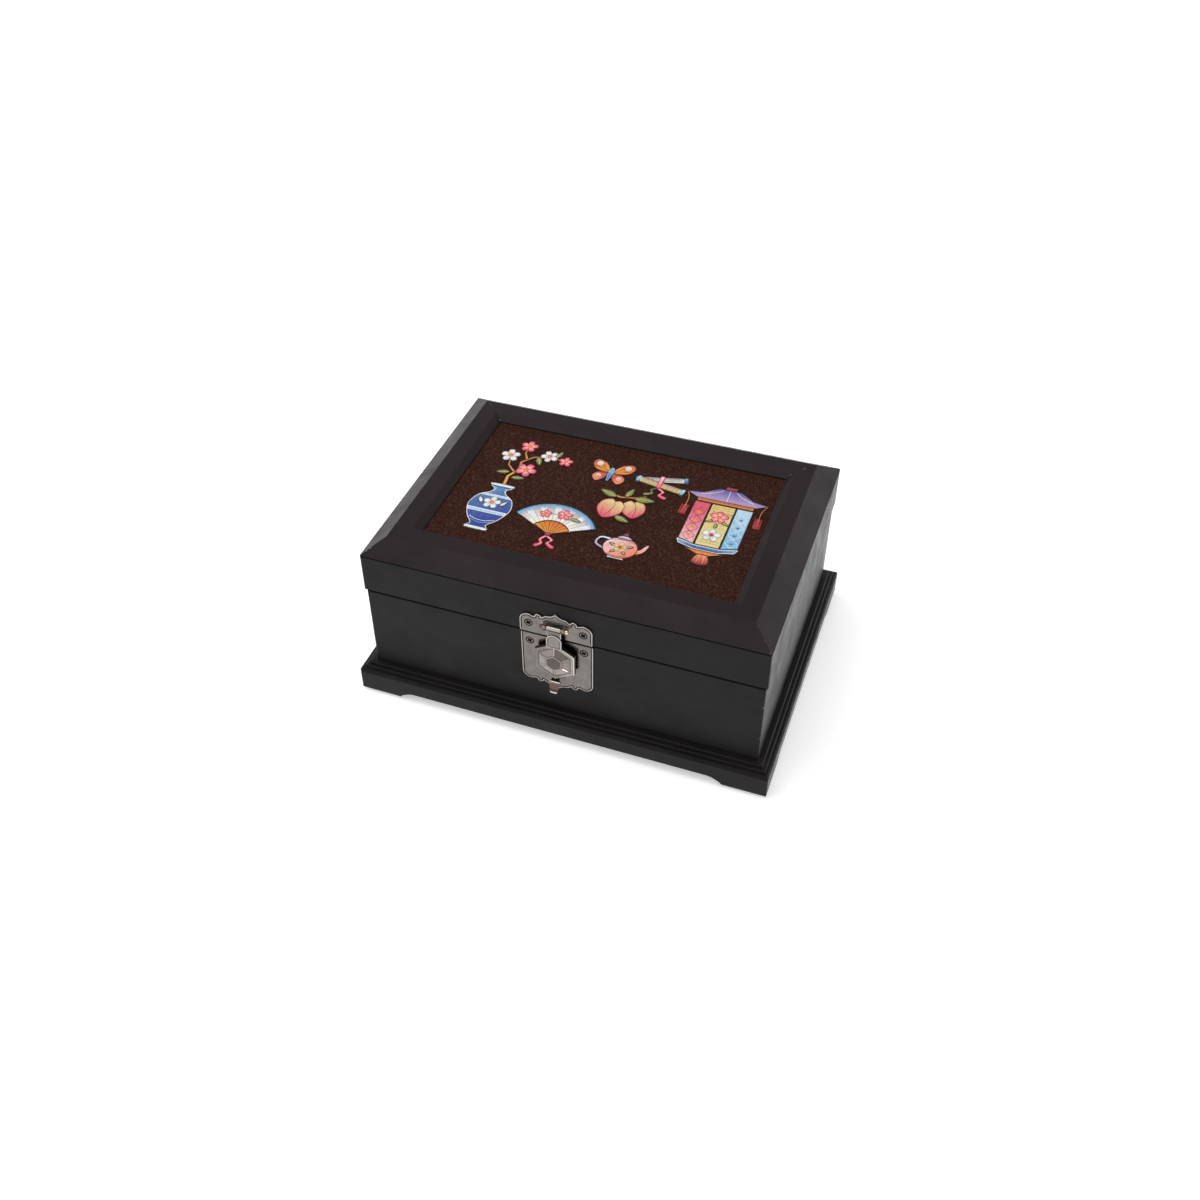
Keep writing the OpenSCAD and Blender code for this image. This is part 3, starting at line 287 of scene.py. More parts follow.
# %% [markdown]
# ## Paint on wood
# The boards are painted nearly black, with a satin lacquer over fine grain. The paint could be
# one flat colour, but real lacquer is never even: the grain telegraphs through it, it is
# slightly wavy like orange peel, fingers leave duller patches, and it wears pale on edges.
# The grain runs along each board, so every direction of board gets a finish of its own.

# %% Mix the paints
LID_JOINT = (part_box("front_board")[1].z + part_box("lid_front_board")[0].z) / 2
FRAME_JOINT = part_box("lid_front_board")[1].z
CASE_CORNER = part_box("front_board")[1].x
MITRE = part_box("plinth_front")[1].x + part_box("plinth_front")[0].y


def lid_gap_shade(height):
    """1 in the gap between lid and case, where shade is painted, falling to 0 over the next half millimetre.
    """
    return abs(height - LID_JOINT + 0.6 * MM).between(0.95 * MM, 1.4 * MM, 1, 0)


def satin_paint(name, dark, pale, along, roughness, gloss):
    """Two tones in faint streaks along the board, slight waves in the lacquer, and smudges in
    the gloss. The joints round the lid are painted black as shade, and paint is rubbed off
    in nicks on the corners. All corners lie where |x| is the same length more than |y|."""
    paint = Finish(name, Specular_IOR_Level=gloss)
    stretch = tuple(0.06 if axis == along else 1.0 for axis in range(3))
    streaks = paint.noise(900, 4, stretch)
    pores = paint.noise(2600, 2, tuple(0.03 if axis == along else 1.0 for axis in range(3)))
    clouds = paint.noise(22, 3)
    smudges = paint.noise(60, 4, distortion=0.6)
    x, y, z = paint.axes(paint.place)
    skin = (abs(x) - CASE_CORNER).most(abs(y) - (CASE_CORNER - MITRE)).between(-0.6 * MM, -0.4 * MM)
    # Painted shade: black lines in the gap under the lid and in the joint under the frame, on the outer faces
    # only.
    joint_shade = lid_gap_shade(z).most(abs(z - FRAME_JOINT).between(0.25 * MM, 0.65 * MM, 0.85, 0)) * skin
    corner = abs(abs(x) - abs(y) - MITRE).between(0.25 * MM, 0.7 * MM, 1, 0)
    nick = corner * paint.noise(260, 3).between(0.60, 0.66)
    body = paint.tint(streaks.between(0.35, 0.7) * 0.35 + clouds.between(0.3, 0.7) * 0.65, dark, pale)
    worn = paint.tint(nick * 0.75, body, srgb(0.50, 0.44, 0.40))
    paint.feed(Base_Color=paint.tint(joint_shade, worn, (0.0015, 0.0013, 0.0013)),
               Roughness=smudges.between(0.3, 0.75, roughness - 0.05, roughness + 0.08)
               + pores.between(0.5, 0.8) * 0.04 + joint_shade * 0.55)
    paint.relief(streaks * 0.4 - pores.between(0.35, 0.75) * 0.3 + paint.noise(420, 1) * 0.7 - nick * 4,
                 0.00002)
    return paint


DARK, DARK_PALE = srgb(0.082, 0.074, 0.076), srgb(0.112, 0.102, 0.105)
RED_DARK, RED_PALE = srgb(0.118, 0.090, 0.097), srgb(0.142, 0.110, 0.117)
for along, sides, gloss in ((0, ("front", "back"), 0.10), (1, ("right", "left"), 0.17)):
    boards = satin_paint(f"dark_paint_{'xy'[along]}", DARK, DARK_PALE, along, 0.46, gloss)
    rails = satin_paint(f"frame_paint_{'xy'[along]}", RED_DARK, RED_PALE, along, 0.40, 0.10)
    for side in sides:
        boards.on(f"plinth_{side}", f"{side}_board", f"lid_{side}_board")
        rails.on(f"frame_{side}")
    if along == 0:
        rails.on("mirror_frame")
    else:
        boards.on("tray_strips")
print("paint on", sum("paint" in m.name for m in bpy.data.materials), "materials")

# %% [markdown]
# ## The other finishes
# Each is one graph. Brushed metal has scratches that run one way, velvet a pile that lies in
# patches, felt a tangle of fibres, and mirror glass hardly anything but a few smudges. A flat
# colour would pass from afar, but light tells them apart by their unevenness.

# %% Metals and glass
def black_nickel(name, joint_shade):
    """Dark plating with fine scratches down the height and clouds where it is thinner. The
    attribute tone says where it has worn to copper, where dirt and painted shade sit, and
    where it is rubbed bright and where highlights are painted. Painted shade also blackens
    the plates along the joint between lid and case. The field of the upper plate behind the
    hasp's pin is made matt and painted lighter, against the dark reflection of the pin there."""
    metal = Finish(name, Metallic=1.0)
    scratches = metal.noise(5200, 3, (1, 1, 0.02))
    clouds = metal.noise(160, 3)
    worn, dirt_and_shade, bright = metal.axes(metal.node("ShaderNodeAttribute", {"attribute_name": "tone"},
                                                output="Color"))
    matt_lightened = 0
    if joint_shade:
        x, _, height = metal.axes(metal.place)
        # Painted shade: the plates are blackened along the gap between lid and case.
        dirt_and_shade = dirt_and_shade.most(lid_gap_shade(height))
        # Painted light: the field behind the pin is made matt and painted lighter, against the pin's dark
        # reflection.
        matt_lightened = abs(x).between(8 * MM, 10 * MM, 1, 0) * height.between(LID_JOINT + 7 * MM, LID_JOINT + 9 * MM)
        bright = bright + matt_lightened * 0.15
    grey = metal.tint(clouds.between(0.35, 0.65), srgb(0.372, 0.360, 0.350), srgb(0.420, 0.398, 0.385))
    rubbed_and_glint = metal.tint(bright, metal.tint(worn, grey, srgb(0.51, 0.39, 0.32)), srgb(0.93, 0.90, 0.87))
    metal.feed(Base_Color=metal.tint(dirt_and_shade, rubbed_and_glint, srgb(0.045, 0.04, 0.04)),
               Roughness=scratches.between(0.35, 0.7, 0.17, 0.27) + clouds.between(0.3, 0.7) * 0.05
               + dirt_and_shade * 0.25 - bright * 0.08 + matt_lightened * 0.35)
    metal.relief(scratches, 0.000008)
    return metal


def polished(name, low, high, rough):
    """Cast or turned metal: fine pits, finger smudges, and a colour that drifts."""
    metal = Finish(name, Metallic=1.0)
    smudges = metal.noise(90, 3, distortion=0.3)
    metal.feed(Base_Color=metal.tint(smudges.between(0.3, 0.7), low, high),
               Roughness=smudges.between(0.25, 0.75, rough, rough + 0.1))
    metal.relief(metal.noise(2400, 2), 0.000003)
    return metal


def silvered_glass():
    """A mirror. It is smooth, so its only flaw is a faint haze of finger marks."""
    glass = Finish("mirror_glass", Metallic=1.0)
    haze = glass.noise(30, 3, distortion=0.4).between(0.55, 0.8)
    glass.feed(Base_Color=glass.tint(haze, srgb(0.93, 0.94, 0.94), srgb(0.87, 0.89, 0.89)),
               Roughness=haze * 0.03 + 0.005)
    return glass


def lit_pin_metal(dark, light):
    """The pin's two heads: the left one is painted dark as shade, the right one painted light as a highlight.
    """
    metal = Finish("lit_pin_metal", Metallic=1.0)
    side = metal.axes(metal.place)[0]
    pits = metal.noise(2400, 3)
    # Painted shade on the left head and a painted highlight on the right one, with fine pits.
    metal.feed(Base_Color=metal.tint(side.between(-1 * MM, 1 * MM) * (1 - pits * 0.3), dark, light),
               Roughness=pits.between(0.3, 0.7, 0.12, 0.2))
    metal.relief(pits, 0.00001)
    return metal


print("metals and glass can be mixed")

# %% [markdown]
# ## Pile, felt, board and ribbon
# Soft things hold light between their fibres. The fibres could be grown as hair, but no single
# one shows in a pile this short. A sheen on the shader gives the pale bloom of velvet, and
# relief gives the tangle of felt, the fibres of bare board and the threads of a ribbon.

# %% Cloths and bare wood
def velvet_pile(name, deep, light):
    """Short pile: patches that lean one way look lighter, over a very fine fibre grain."""
    pile = Finish(name, Roughness=0.95, Specular_IOR_Level=0.1, Sheen_Weight=0.7, Sheen_Roughness=0.35)
    pile.shader.inputs["Sheen Tint"].default_value = (*light, 1)
    lean = pile.noise(26, 2, distortion=0.3)
    fibres = pile.noise(5200, 2)
    pile.feed(Base_Color=pile.tint(lean.between(0.3, 0.75) * 0.35 + fibres * 0.5, deep, light))
    pile.relief(fibres + pile.noise(140, 3) * 0.4, 0.00016)
    return pile


def pressed_felt(name, deep, light):
    """Tangled fibres: fine noise, strongly warped."""
    felt = Finish(name, Roughness=1.0, Specular_IOR_Level=0.1, Sheen_Weight=0.3)
    tangle = felt.noise(1700, 4, distortion=2.5)
    felt.feed(Base_Color=felt.tint(tangle.between(0.3, 0.7), deep, light))
    felt.relief(tangle, 0.0003)
    return felt


def bare_board():
    """Planed plywood: long fibres along x, with darker pores."""
    wood = Finish("bare_board", Roughness=0.6)
    fibres = wood.noise(420, 4, (0.03, 1, 1), distortion=0.3)
    pores = wood.noise(2200, 2, (0.02, 1, 1))
    wood.feed(Base_Color=wood.tint(fibres.between(0.3, 0.7) * 0.8 + pores.between(0.6, 0.8) * 0.2,
                                   srgb(0.78, 0.64, 0.47), srgb(0.60, 0.45, 0.30)))
    wood.relief(fibres - pores * 0.4, 0.00012)
    return wood


def satin_ribbon():
    """Warp threads along the ribbon, too fine to count, with a soft gloss."""
    ribbon = Finish("satin_ribbon", Sheen_Weight=0.2)
    threads = ribbon.noise(6000, 2, (1, 1, 0.05))
    ribbon.feed(Base_Color=ribbon.tint(threads, srgb(0.66, 0.47, 0.16), srgb(0.87, 0.70, 0.34)),
                Roughness=threads.between(0.3, 0.7, 0.28, 0.42))
    ribbon.relief(threads, 0.00003)
    return ribbon


print("cloths and wood can be mixed")

# %% [markdown]
# ## Dressing the solids
# Small hardware and hidden boards keep the exact shapes of the solids and only get a finish:
# brass for the hinges, steel for the magnet and its disc, copper for the hasp's pin, velvet for
# the tray's walls. Each could be picked by hand, but one word in the names finds every part of
# the hinges.

# %% Dress the solids
NICKEL, PLATE_NICKEL = black_nickel("black_nickel", False), black_nickel("plate_nickel", True)
BRASS = polished("brass", srgb(0.76, 0.65, 0.43), srgb(0.84, 0.74, 0.51), 0.24)
STEEL = polished("steel", srgb(0.50, 0.50, 0.50), srgb(0.60, 0.60, 0.59), 0.30)
GLASS = silvered_glass()
COPPER = lit_pin_metal(srgb(0.36, 0.28, 0.25), srgb(0.84, 0.74, 0.58))
VELVET = velvet_pile("wine_velvet", srgb(0.27, 0.035, 0.07), srgb(0.46, 0.08, 0.13))
FELT = pressed_felt("felt", srgb(0.13, 0.13, 0.13), srgb(0.24, 0.24, 0.235))
BARE = bare_board()
RIBBON = satin_ribbon()
BRASS.on(*[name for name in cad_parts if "hinge" in name])
STEEL.on("catch_strike", "hasp_magnet")
GLASS.on("mirror_glass")
COPPER.on("hasp_pin")
BARE.on("base_panel", "backing_board")
VELVET.on("tray_front", "tray_right", "tray_back", "tray_left", "tray_bottom", "tray_long_divider",
          "tray_small_dividers")
print("finishes:", len(bpy.data.materials))

# %% [markdown]
# ## Surfaces from numbers
# New pieces are grids of points that numpy works out all at once. A heap gathers the points
# and faces of several such surfaces, in millimetres, and turns them into one piece.

# %% Grids and heaps
def grid_quads(rows, columns, wrap_columns=False, wrap_rows=False):
    """Quads between neighbouring points of a grid. A wrapped direction joins its last line to its first."""
    row = np.arange(rows if wrap_rows else rows - 1)[:, None]
    column = np.arange(columns if wrap_columns else columns - 1)[None, :]
    next_row, next_column = (row + 1) % rows, (column + 1) % columns
    return np.stack([row * columns + column, row * columns + next_column,
                     next_row * columns + next_column, next_row * columns + column], -1).reshape(-1, 4)


class Heap:
    """Points in millimetres, and faces, gathered from several surfaces."""

    def __init__(self):
        self.points, self.faces, self.colours, self.count = [], [], [], 0

    def add(self, points, *faces, colour=None):
        """Adds a surface, whose faces number its own points from 0."""
        points = np.asarray(points, float).reshape(-1, 3)
        self.points.append(points)
        self.faces += [np.asarray(f) + self.count for f in faces]
        if colour is not None:
            self.colours.append(np.reshape(colour, (-1, 3)))
        self.count += len(points)
        return self

    def piece(self, name, body, slot, finish, *nodes, crease=40):
        """Makes one object of the heap, in the place of the given CAD nodes. Edges that bend by
        more than crease degrees stay sharp."""
        mesh = bpy.data.meshes.new(name)
        points = np.concatenate(self.points) * MM
        corners = np.concatenate([f.ravel() for f in self.faces])
        sizes = np.concatenate([np.full(len(f), f.shape[1]) for f in self.faces])
        mesh.vertices.add(len(points))
        mesh.vertices.foreach_set("co", points.ravel().astype(np.float32))
        mesh.loops.add(len(corners))
        mesh.loops.foreach_set("vertex_index", corners.astype(np.int32))
        mesh.polygons.add(len(sizes))
        mesh.polygons.foreach_set("loop_start", (np.cumsum(sizes) - sizes).astype(np.int32))
        mesh.polygons.foreach_set("use_smooth", np.ones(len(sizes), bool))
        mesh.update(calc_edges=True)
        mesh.validate()
        mesh.set_sharp_from_angle(angle=math.radians(crease))
        if self.colours:
            rgba = np.ones((len(points), 4), np.float32)
            rgba[:, :3] = np.concatenate(self.colours)
            mesh.attributes.new("tone", "FLOAT_COLOR", "POINT").data.foreach_set("color", rgba.ravel())
        made = bpy.data.objects.new(name, mesh)
        scene.collection.objects.link(made)
        dress(made, finish)
        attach(made, body)
        if nodes:
            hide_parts(*nodes)
        print(f"{name}: {int((sizes - 2).sum())} triangles")
        return made


print("a 3 x 3 grid has", len(grid_quads(3, 3)), "faces")

# %% [markdown]
# ## Threads as tubes
# A thread is a tube along a path. Curve objects with a bevel would give the same shape, but
# they are slow by the thousand, so numpy makes the rings of many tubes at once. Outlines are
# first walked at equal steps, so that all stitches along them come out alike.

# %% Tubes and walks
UP = np.array((0.0, 0.0, 1.0))


def tubes(paths, radius, sides=6, flat=1.0, closed=False):
    """Round threads along many paths at once. paths holds threads x stations x 3 numbers. Round
    each station lies a ring of points: radius * cos(a) sideways, flat * radius * sin(a) upwards."""
    way = np.roll(paths, -1, 1) - np.roll(paths, 1, 1) if closed else np.gradient(paths, axis=1)
    way = way / np.linalg.norm(way, axis=-1, keepdims=True)
    side = np.cross(way, UP)
    side = side / np.maximum(np.linalg.norm(side, axis=-1, keepdims=True), 1e-9)
    lift = np.cross(side, way)
    a = np.arange(sides)[:, None] * 2 * np.pi / sides
    ring = np.cos(a) * side[..., None, :] + flat * np.sin(a) * lift[..., None, :]
    threads, stations = paths.shape[:2]
    points = paths[..., None, :] + np.broadcast_to(radius, (threads, stations))[..., None, None] * ring
    first = np.arange(threads)[:, None, None] * stations * sides
    faces = [(grid_quads(stations, sides, True, closed)[:, ::-1] + first).reshape(-1, 4)]
    if not closed:
        end = np.arange(sides)
        faces.append((np.stack([end, (stations - 1) * sides + end[::-1]]) + first).reshape(-1, sides))
    return points, faces


def walk(points, step, closed):
    """Points at equal steps along the line through the given ones, and the distance walked to each."""
    line = np.vstack([points, points[:1]]) if closed else np.asarray(points, float)
    walked = np.concatenate([[0], np.cumsum(np.linalg.norm(np.diff(line, axis=0), axis=1))])
    count = max(int(round(walked[-1] / step)), 4)
    at = np.linspace(0, walked[-1], count, endpoint=not closed)
    return np.stack([np.interp(at, walked, line[:, k]) for k in range(line.shape[1])], -1), at


print("10 mm at steps of 0.45 mm:", len(walk([(0, 0), (10, 0)], 0.45, False)[1]), "points")

# %% [markdown]
# ## The cloth
# The panel in the lid is dark brown plain weave, pulled tight over a board. It is a sheet of
# 199 by 129 mm. Its yarns could be tubes like the threads, but there are hundreds each way and
# each is under a millimetre wide. So they are relief in the material, and the mesh carries only
# what is larger, a ripple of a few hundredths of a millimetre.

# %% Weave the cloth
def woven_linen():
    """Plain weave. Across each yarn the height is a sine arch. Which yarn lies on top alternates
    from cell to cell, as the product of two sines of twice the pitch. Slubs are streaks of noise."""
    linen = Finish("brown_linen", Roughness=0.9, Specular_IOR_Level=0.06, Sheen_Weight=0.02)
    pitch = 0.62 * MM
    wander = linen.noise(90, 2)
    x, y, _ = linen.axes(linen.place)
    a, b = (x + wander * 0.5 * MM) * (math.pi / pitch), (y + wander * 0.5 * MM) * (math.pi / pitch)
    over = (a.sine() * b.sine() * 2.5).most(-1.0).least(1.0)
    warp, weft = abs(a.sine()) * (0.5 + over * 0.5), abs(b.sine()) * (0.5 - over * 0.5)
    height = warp.most(weft)
    slubs = sum(linen.noise(900, 3, stretch).between(0.52, 0.72)
                for stretch in ((1, 0.12, 1), (0.12, 1, 1))) * 0.5
    specks = linen.noise(1700, 2, (1, 0.5, 1)).between(0.53, 0.68)
    # Painted shade: the yarn is darker in the dips between yarns and lighter on its crowns, and the pale
    # specks follow the crowns too.
    yarn = linen.tint((height * 0.5 + slubs * 0.5).least(1.0), srgb(0.125, 0.045, 0.028),
                      srgb(0.29, 0.15, 0.10))
    linen.feed(Base_Color=linen.tint(specks * (height * 0.6 + 0.4) * 0.6, yarn, srgb(0.45, 0.32, 0.26)))
    linen.relief(height + slubs * 0.4, 0.00022)
    return linen


CLOTH_LOW, CLOTH_HIGH = (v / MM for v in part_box("embroidered_cloth"))
CLOTH_TOP = CLOTH_HIGH.z
LINEN = woven_linen()


def stretched_cloth():
    """A closed sheet: a grid of heights over the panel, thickened downwards."""
    x = np.linspace(CLOTH_LOW.x, CLOTH_HIGH.x, 181)
    y = np.linspace(CLOTH_LOW.y, CLOTH_HIGH.y, 121)[:, None]
    ripple = 0.03 * np.sin(x / 9.0 + np.sin(y / 13.0)) * np.sin(y / 7.0)
    top = np.stack(np.broadcast_arrays(x, y, CLOTH_TOP - 0.04 + ripple), -1)
    rows, columns = top.shape[:2]
    sheet = Heap().add(top, grid_quads(rows, columns)).piece(
        "linen_panel", "lid", "brown_cloth", LINEN, "embroidered_cloth")
    wall = sheet.modifiers.new("thickness", "SOLIDIFY")
    wall.thickness, wall.offset = 0.45 * MM, -1


stretched_cloth()

# %% [markdown]
# ## Silk
# Silk thread is dyed in many colours and shines along its fibres. A material for every colour
# would be simple, but two silks could never blend in one patch then. So all threads share one
# material, which takes its colour from the points of the mesh. Each silk that fills patches
# has a second one that it fades to.

# %% Dye the silk
THREADS = Finish("silk_thread", Roughness=0.42, Sheen_Weight=0.25, Sheen_Roughness=0.3)
silk_colour = THREADS.node("ShaderNodeAttribute", {"attribute_name": "tone"}, output="Color")
fibre = THREADS.noise(7000, 2)
THREADS.feed(Base_Color=THREADS.tint(fibre.between(0.3, 0.7) * 0.3, silk_colour, (0.9, 0.88, 0.84),
                                     "SOFT_LIGHT"))
THREADS.relief(fibre, 0.00003)
TINTS = {name: np.array(srgb(*value)) for name, value in {
    "white": (0.94, 0.92, 0.88), "pink": (0.88, 0.32, 0.44), "blue": (0.15, 0.22, 0.60),
    "olive": (0.56, 0.58, 0.24), "gold": (0.92, 0.62, 0.16), "sky": (0.48, 0.73, 0.87),
    "crimson": (0.62, 0.08, 0.16), "lilac": (0.70, 0.60, 0.78), "cream": (0.90, 0.84, 0.58),
    "salmon": (0.93, 0.53, 0.40), "blush": (0.97, 0.78, 0.78), "navy": (0.07, 0.08, 0.20),
    "ink": (0.08, 0.07, 0.09), "leaf": (0.36, 0.44, 0.22), "amber": (0.86, 0.40, 0.12),
    "ice": (0.82, 0.91, 0.96), "rose": (0.72, 0.14, 0.28), "grey": (0.62, 0.62, 0.66)}.items()}
SECOND = {"white": "ice", "pink": "blush", "blue": "sky", "olive": "leaf", "gold": "amber", "sky": "ice",
          "crimson": "rose", "lilac": "ice", "cream": "gold", "salmon": "blush"}
print("silks:", len(TINTS))

# %% [markdown]
# ## Satin stitches
# Every patch of the picture is satin stitch: straight threads laid side by side until they
# cover it. They could be drawn one by one, but a patch has dozens. Here its outline is cut by
# parallel rows, a little closer than a thread is thick, and every cut between two edges becomes
# a stitch. Very long ones are divided, because a long loose thread would catch on things.

# %% Cut a patch into stitches
PITCH, LONGEST, SHORTEST = 0.36, 8.0, 0.25
random = np.random.default_rng(7)


def satin(outline, angle):
    """Rows of stitches across an outline. The outline is turned back by angle, so that rows lie
    level. A row meets each edge whose ends lie on both sides of it, at the share of that edge
    where it crosses. Sorted crossings, taken in pairs, are stitches, and long ones are cut up,
    with the cuts of three neighbouring rows out of step."""
    c, s = math.cos(math.radians(angle)), math.sin(math.radians(angle))
    turn = np.array([[c, -s], [s, c]])
    a = outline @ turn
    b = np.roll(a, -1, 0)
    rows = np.arange(a[:, 1].min() + PITCH * 0.45, a[:, 1].max(), PITCH)
    rows = rows + random.uniform(-0.12, 0.12, len(rows)) * PITCH
    meets = (a[:, 1] <= rows[:, None]) != (b[:, 1] <= rows[:, None])
    rise = np.where(meets, b[:, 1] - a[:, 1], 1.0)
    crossings = np.where(meets, a[:, 0] + (rows[:, None] - a[:, 1]) / rise * (b[:, 0] - a[:, 0]), np.inf)
    crossings.sort(axis=1)
    pairs = crossings[:, :crossings.shape[1] // 2 * 2].reshape(len(rows), -1, 2)
    left = np.where(np.isfinite(pairs[..., 0]), pairs[..., 0], 0)
    row, pair = np.nonzero(np.isfinite(pairs[..., 1]) & (pairs[..., 1] - left > SHORTEST))
    start, end = pairs[row, pair].T
    parts = np.ceil((end - start) / LONGEST)
    starts, ends = [], []
    for part in range(int(parts.max()) if len(parts) else 0):
        there = parts > part
        shift = (row[there] % 3 - 1) * 0.24
        n = parts[there]
        low = np.where(part > 0, part + shift, 0) / n
        high = np.where(part + 1 < n, part + 1 + shift, n) / n
        x0, x1, y = start[there], end[there], rows[row[there]]
        starts.append(np.stack([x0 + (x1 - x0) * low, y], -1))
        ends.append(np.stack([x0 + (x1 - x0) * high, y], -1))
    if not starts:
        return np.zeros((0, 2)), np.zeros((0, 2))
    return np.concatenate(starts) @ turn.T, np.concatenate(ends) @ turn.T


square = np.array([(0, 0), (10, 0), (10, 10), (0, 10.0)])
print("one patch of 10 by 10 mm takes", len(satin(square, 30)[0]), "stitches")

# %% [markdown]
# ## Laying the threads
# Each stitch becomes one short closed tube that arches over the cloth, with its ends in it.
# Flat strips would be lighter, but they would not catch the light round a thread. The colour
# runs from one silk to its second one across the patch, and each thread differs a little.
# Outlines and fine lines are stem stitch: short stitches one behind the other.

# %% Lay patches and lines
THREAD_R = PITCH * 0.56
THREAD_SIDES = 6


def silk_colours(points, outline, patch):
    """Colours at points: the share of the way across the outline in the patch's fade direction,
    smoothed, goes from its tint to its second tint."""
    ahead = np.array([math.cos(math.radians(patch["fade"])), math.sin(math.radians(patch["fade"]))])
    reach = outline @ ahead
    share = np.clip((points @ ahead - reach.min()) / max(np.ptp(reach), 0.01), 0, 1)
    share = np.clip(share + random.normal(0, 0.07, share.shape[:1])[:, None], 0, 1) * patch["mix"]
    share = (share * share * (3 - 2 * share))[..., None]
    first, second = TINTS[patch["tint"]], TINTS[patch["to"]]
    grain = random.normal(1.0, 0.06, (len(points), 1, 1))
    return np.clip((first * (1 - share) + second * share) * grain, 0, 1)


def lay_patch(heap, patch, outline):
    """Tubes for one patch. Along a stitch the height is a low arch over the patch's level, and
    its two ends lie under the cloth."""
    starts, ends = satin(outline, patch["lay"])
    share = np.array([0.0, 0.04, 0.2, 0.5, 0.8, 0.96, 1.0])
    flat = starts[:, None] * (1 - share[:, None]) + ends[:, None] * share[:, None]
    length = np.linalg.norm(ends - starts, axis=1)[:, None]
    lift = 0.13 + 0.2 * patch["level"] + np.minimum(0.15, 0.03 * length) * np.sin(np.pi * share)
    lift = lift + random.normal(0, 0.012, (len(starts), 1))
    lift[:, [0, -1]] = 0.2 * patch["level"] - 0.25
    paths = np.concatenate([flat, (CLOTH_TOP + lift)[..., None]], -1)
    radius = THREAD_R * np.array([0.6, 0.9, 1, 1, 1, 0.9, 0.6])
    points, faces = tubes(paths, radius[None], THREAD_SIDES, 0.9)
    colours = silk_colours(flat, outline, patch)
    heap.add(points, *faces, colour=np.repeat(colours[:, :, None], THREAD_SIDES, 2))


def lay_line(heap, points, tint, width, level, closed):
    """Stem stitch along a line: one tube that swells and leans once for each stitch."""
    flat, at = walk(points, 0.45, closed)
    way = np.roll(flat, -1, 0) - np.roll(flat, 1, 0)
    if not closed:
        way[[0, -1]] = way[[1, -2]]
    aside = np.stack([-way[:, 1], way[:, 0]], -1) / np.maximum(np.linalg.norm(way, axis=1), 1e-9)[:, None]
    phase = at / 1.7 % 1
    flat = flat + aside * (0.22 * width * (phase - 0.5))[:, None]
    radius = width / 2 * (0.72 + 0.28 * np.sin(np.pi * phase))
    lift = np.full(len(flat), CLOTH_TOP + 0.17 + 0.2 * level)
    if not closed:
        lift[[0, -1]] -= 0.35
    path = np.concatenate([flat, lift[:, None]], -1)[None]
    points, faces = tubes(path, radius[None], THREAD_SIDES, 0.85, closed)
    colours = TINTS[tint] * random.normal(1.0, 0.05, (1, len(flat), 1, 1))
    colours = np.broadcast_to(colours, (1, len(flat), THREAD_SIDES, 3))
    heap.add(points, *faces, colour=np.clip(colours, 0, 1))


print("threads are", round(2 * THREAD_R, 2), "mm thick")

# %% [markdown]
# ## Outlines of the motifs
# A motif is a list of patches and lines, drawn about its own middle in shares of its size.
# The outlines repeat those of the solids. A few points give a shape, and a curve through
# them rounds it. The picture is a made-up still life on the old theme of treasured things.

# %% Outline helpers
PETAL = [[0.05, 0], [0.50, 0.30], [0.88, 0.27], [1, 0], [0.88, -0.27], [0.50, -0.30]]
LEAF = [[0, 0], [0.30, 0.20], [0.65, 0.18], [1, 0], [0.65, -0.18], [0.30, -0.20]]


def mirrored(points):
    """The points on the other side of the middle line, in reverse, so that the way round stays."""
    return [[-x, y] for x, y in reversed(points)]


def both(half):
    """A whole outline from its right half."""
    return half + mirrored(half)


def smooth(points, steps=6):
    """A closed curve through the points: at t from b to c it is half of 2b + (c - a) t +
    (2a - 5b + 4c - d) t^2 + (3b - a - 3c + d) t^3, for each four neighbours a, b, c, d."""
    b = np.asarray(points, float)
    a, c, d = np.roll(b, 1, 0), np.roll(b, -1, 0), np.roll(b, -2, 0)
    t = (np.arange(steps) / steps)[None, :, None]
    a, b, c, d = (p[:, None] for p in (a, b, c, d))
    square = (2 * a - 5 * b + 4 * c - d) * t ** 2
    cube = (3 * b - a - 3 * c + d) * t ** 3
    return ((2 * b + (c - a) * t + square + cube) / 2).reshape(-1, 2)


def arc(x, y, r, low, high, steps=9):
    """Points on a circle, from one angle to another."""
    a = np.radians(np.linspace(low, high, steps + 1))
    return np.stack([x + r * np.cos(a), y + r * np.sin(a)], -1).tolist()


def placed(points, x, y, turn=0, k=1):
    """Points made k times as large, turned, and moved to x, y."""
    c, s = math.cos(math.radians(turn)) * k, math.sin(math.radians(turn)) * k
    return [[x + c * u - s * v, y + s * u + c * v] for u, v in points]


def strip(path, w0, w1):
    """A band along a path whose width goes from w0 to w1: each point moved to both sides."""
    path = np.asarray(path, float)
    way = np.vstack([path[1:2] - path[:1], path[2:] - path[:-2], path[-1:] - path[-2:-1]])
    away = np.stack([-way[:, 1], way[:, 0]], -1) / np.linalg.norm(way, axis=1)[:, None]
    away = away * (np.linspace(w0, w1, len(path)) / 2)[:, None]
    return np.vstack([path - away, (path + away)[::-1]]).tolist()


print("a leaf of", len(LEAF), "points becomes a curve of", len(smooth(LEAF)))

# %% [markdown]
# ## Patches, lines and flowers
# The embroiderer works in a few forms over and over: a filled shape with a dark edge, a line,
# a leaf, a blossom, rows of short bars. Every one could be written out where it is needed, but
# as functions they keep the same slants and edges all over the picture.

# %% Patches, lines and flowers
def panel(tint, level, points, lay=0, fade=90, edge="ink", to=None, mix=1.0):
    """A filled patch. Its stitches lie at the angle lay, its colour fades in the direction fade
    to a share mix of the silk to, and level says how many layers of silk lie under it."""
    return [dict(tint=tint, level=level, outline=points, lay=lay, fade=fade, edge=edge,
                 to=to or SECOND[tint], mix=mix)]


